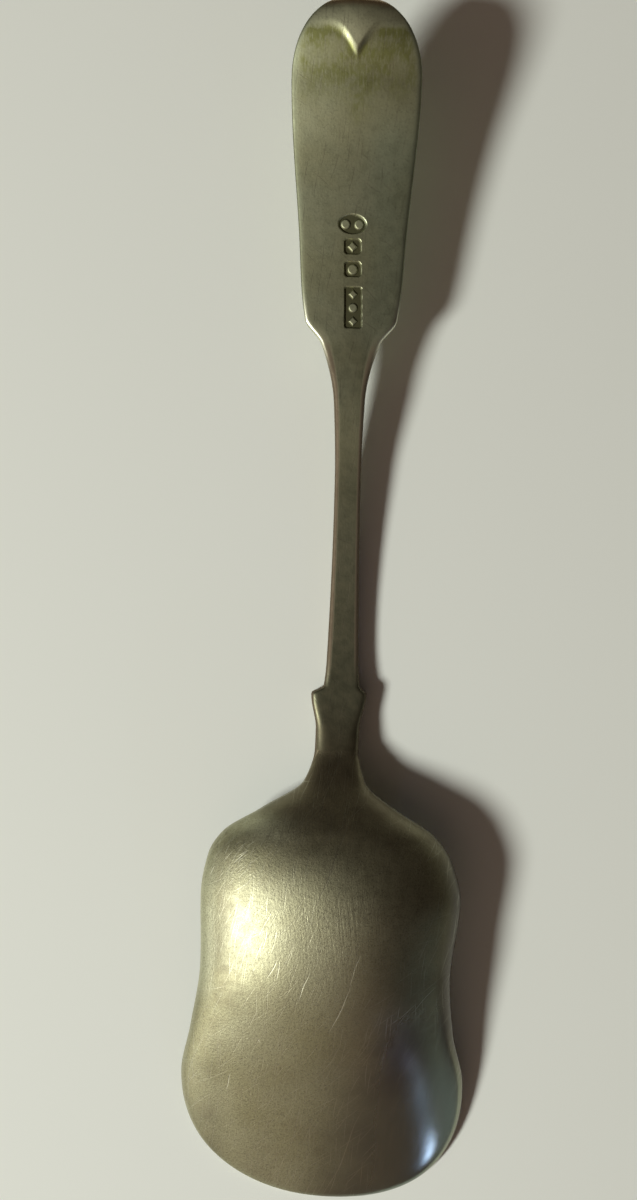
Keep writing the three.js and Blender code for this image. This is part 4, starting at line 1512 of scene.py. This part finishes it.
def room_light(floor):
    """A quiet room: pale low down, dim overhead, with soft light from the bowl's left,
    before a backdrop in the floor's colour."""
    world = bpy.data.worlds.new("room")
    bpy.context.scene.world = world
    world.use_nodes = True
    tree = world.node_tree
    tree.nodes.clear()
    direction = Place(tree, tree.nodes.new("ShaderNodeTexCoord").outputs["Generated"])
    up = direction.parts()[2]
    level = up.ramp(0.0, 0.3, 0.06, 0.03) + direction.along(SOFT_SIDE).ramp(0.4, 1.0, top=0.28)
    cool = direction.along(COOL_SIDE).ramp(0.90, 1.0, top=0.24)
    both = node(tree, "ShaderNodeAddShader", {
        0: background(tree, ROOM_TINT, level), 1: background(tree, COOL_ROOM_TINT, cool)})
    seen = tree.nodes.new("ShaderNodeLightPath").outputs["Is Camera Ray"]
    shown = node(tree, "ShaderNodeMixShader", {
        0: seen, 1: both.outputs[0], 2: background(tree, floor, BACKDROP_STRENGTH)})
    out = tree.nodes.new("ShaderNodeOutputWorld")
    tree.links.new(shown.outputs[0], out.inputs["Surface"])


def make_camera(stage):
    data = bpy.data.cameras.new("camera")
    data.sensor_width = SENSOR
    data.lens = stage.lens
    data.clip_start, data.clip_end = CLIPPING
    made = bpy.data.objects.new("camera", data)
    made.location = (*CAMERA_FOOT, stage.camera_height)
    made.rotation_euler = (0, 0, CAMERA_TURN)
    bpy.context.scene.collection.objects.link(made)
    bpy.context.scene.camera = made


class SPOON_OT_stage(bpy.types.Operator):
    """Set the pale floor, the soft lamps and the camera"""
    bl_idname = "spoon.stage"
    bl_label = "Stage"

    def execute(self, context):
        stage = context.scene.spoon_stage
        make_floor(context.scene.spoon_colours)
        lamp("main_lamp", KEY_TOWARDS, stage.key_power, stage.key_size, KEY_TINT)
        lamp("cool_lamp", COOL_TOWARDS, stage.cool_power, stage.cool_size, COOL_TINT)
        room_light(context.scene.spoon_colours.floor)
        make_camera(stage)
        context.scene.view_settings.view_transform = "Standard"
        return {"FINISHED"}


class SPOON_PT_panel(bpy.types.Panel):
    bl_label = "Serving Spoon"
    bl_idname = "SPOON_PT_panel"
    bl_space_type = "VIEW_3D"
    bl_region_type = "UI"
    bl_category = "Spoon"

    def draw(self, context):
        for operator in OPERATORS:
            self.layout.operator(operator.bl_idname)
        for group in (context.scene.spoon_sizes, context.scene.spoon_colours, context.scene.spoon_stage):
            box = self.layout.box()
            for key in group.__annotations__:
                box.prop(group, key)


OPERATORS = (SPOON_OT_bowl, SPOON_OT_solder_seam, SPOON_OT_handle, SPOON_OT_stage)
GROUPS = {"spoon_sizes": SpoonSizes, "spoon_colours": SpoonColours, "spoon_stage": SpoonStage}


def register():
    for made in (*GROUPS.values(), *OPERATORS, SPOON_PT_panel):
        bpy.utils.register_class(made)
    for key, group in GROUPS.items():
        setattr(bpy.types.Scene, key, bpy.props.PointerProperty(type=group))


def unregister():
    for key in GROUPS:
        delattr(bpy.types.Scene, key)
    for made in (SPOON_PT_panel, *reversed(OPERATORS), *reversed(GROUPS.values())):
        bpy.utils.unregister_class(made)


def main():
    register()
    bpy.ops.spoon.bowl()
    bpy.ops.spoon.solder_seam()
    bpy.ops.spoon.handle()
    bpy.ops.spoon.stage()


if __name__ == "__main__":
    main()
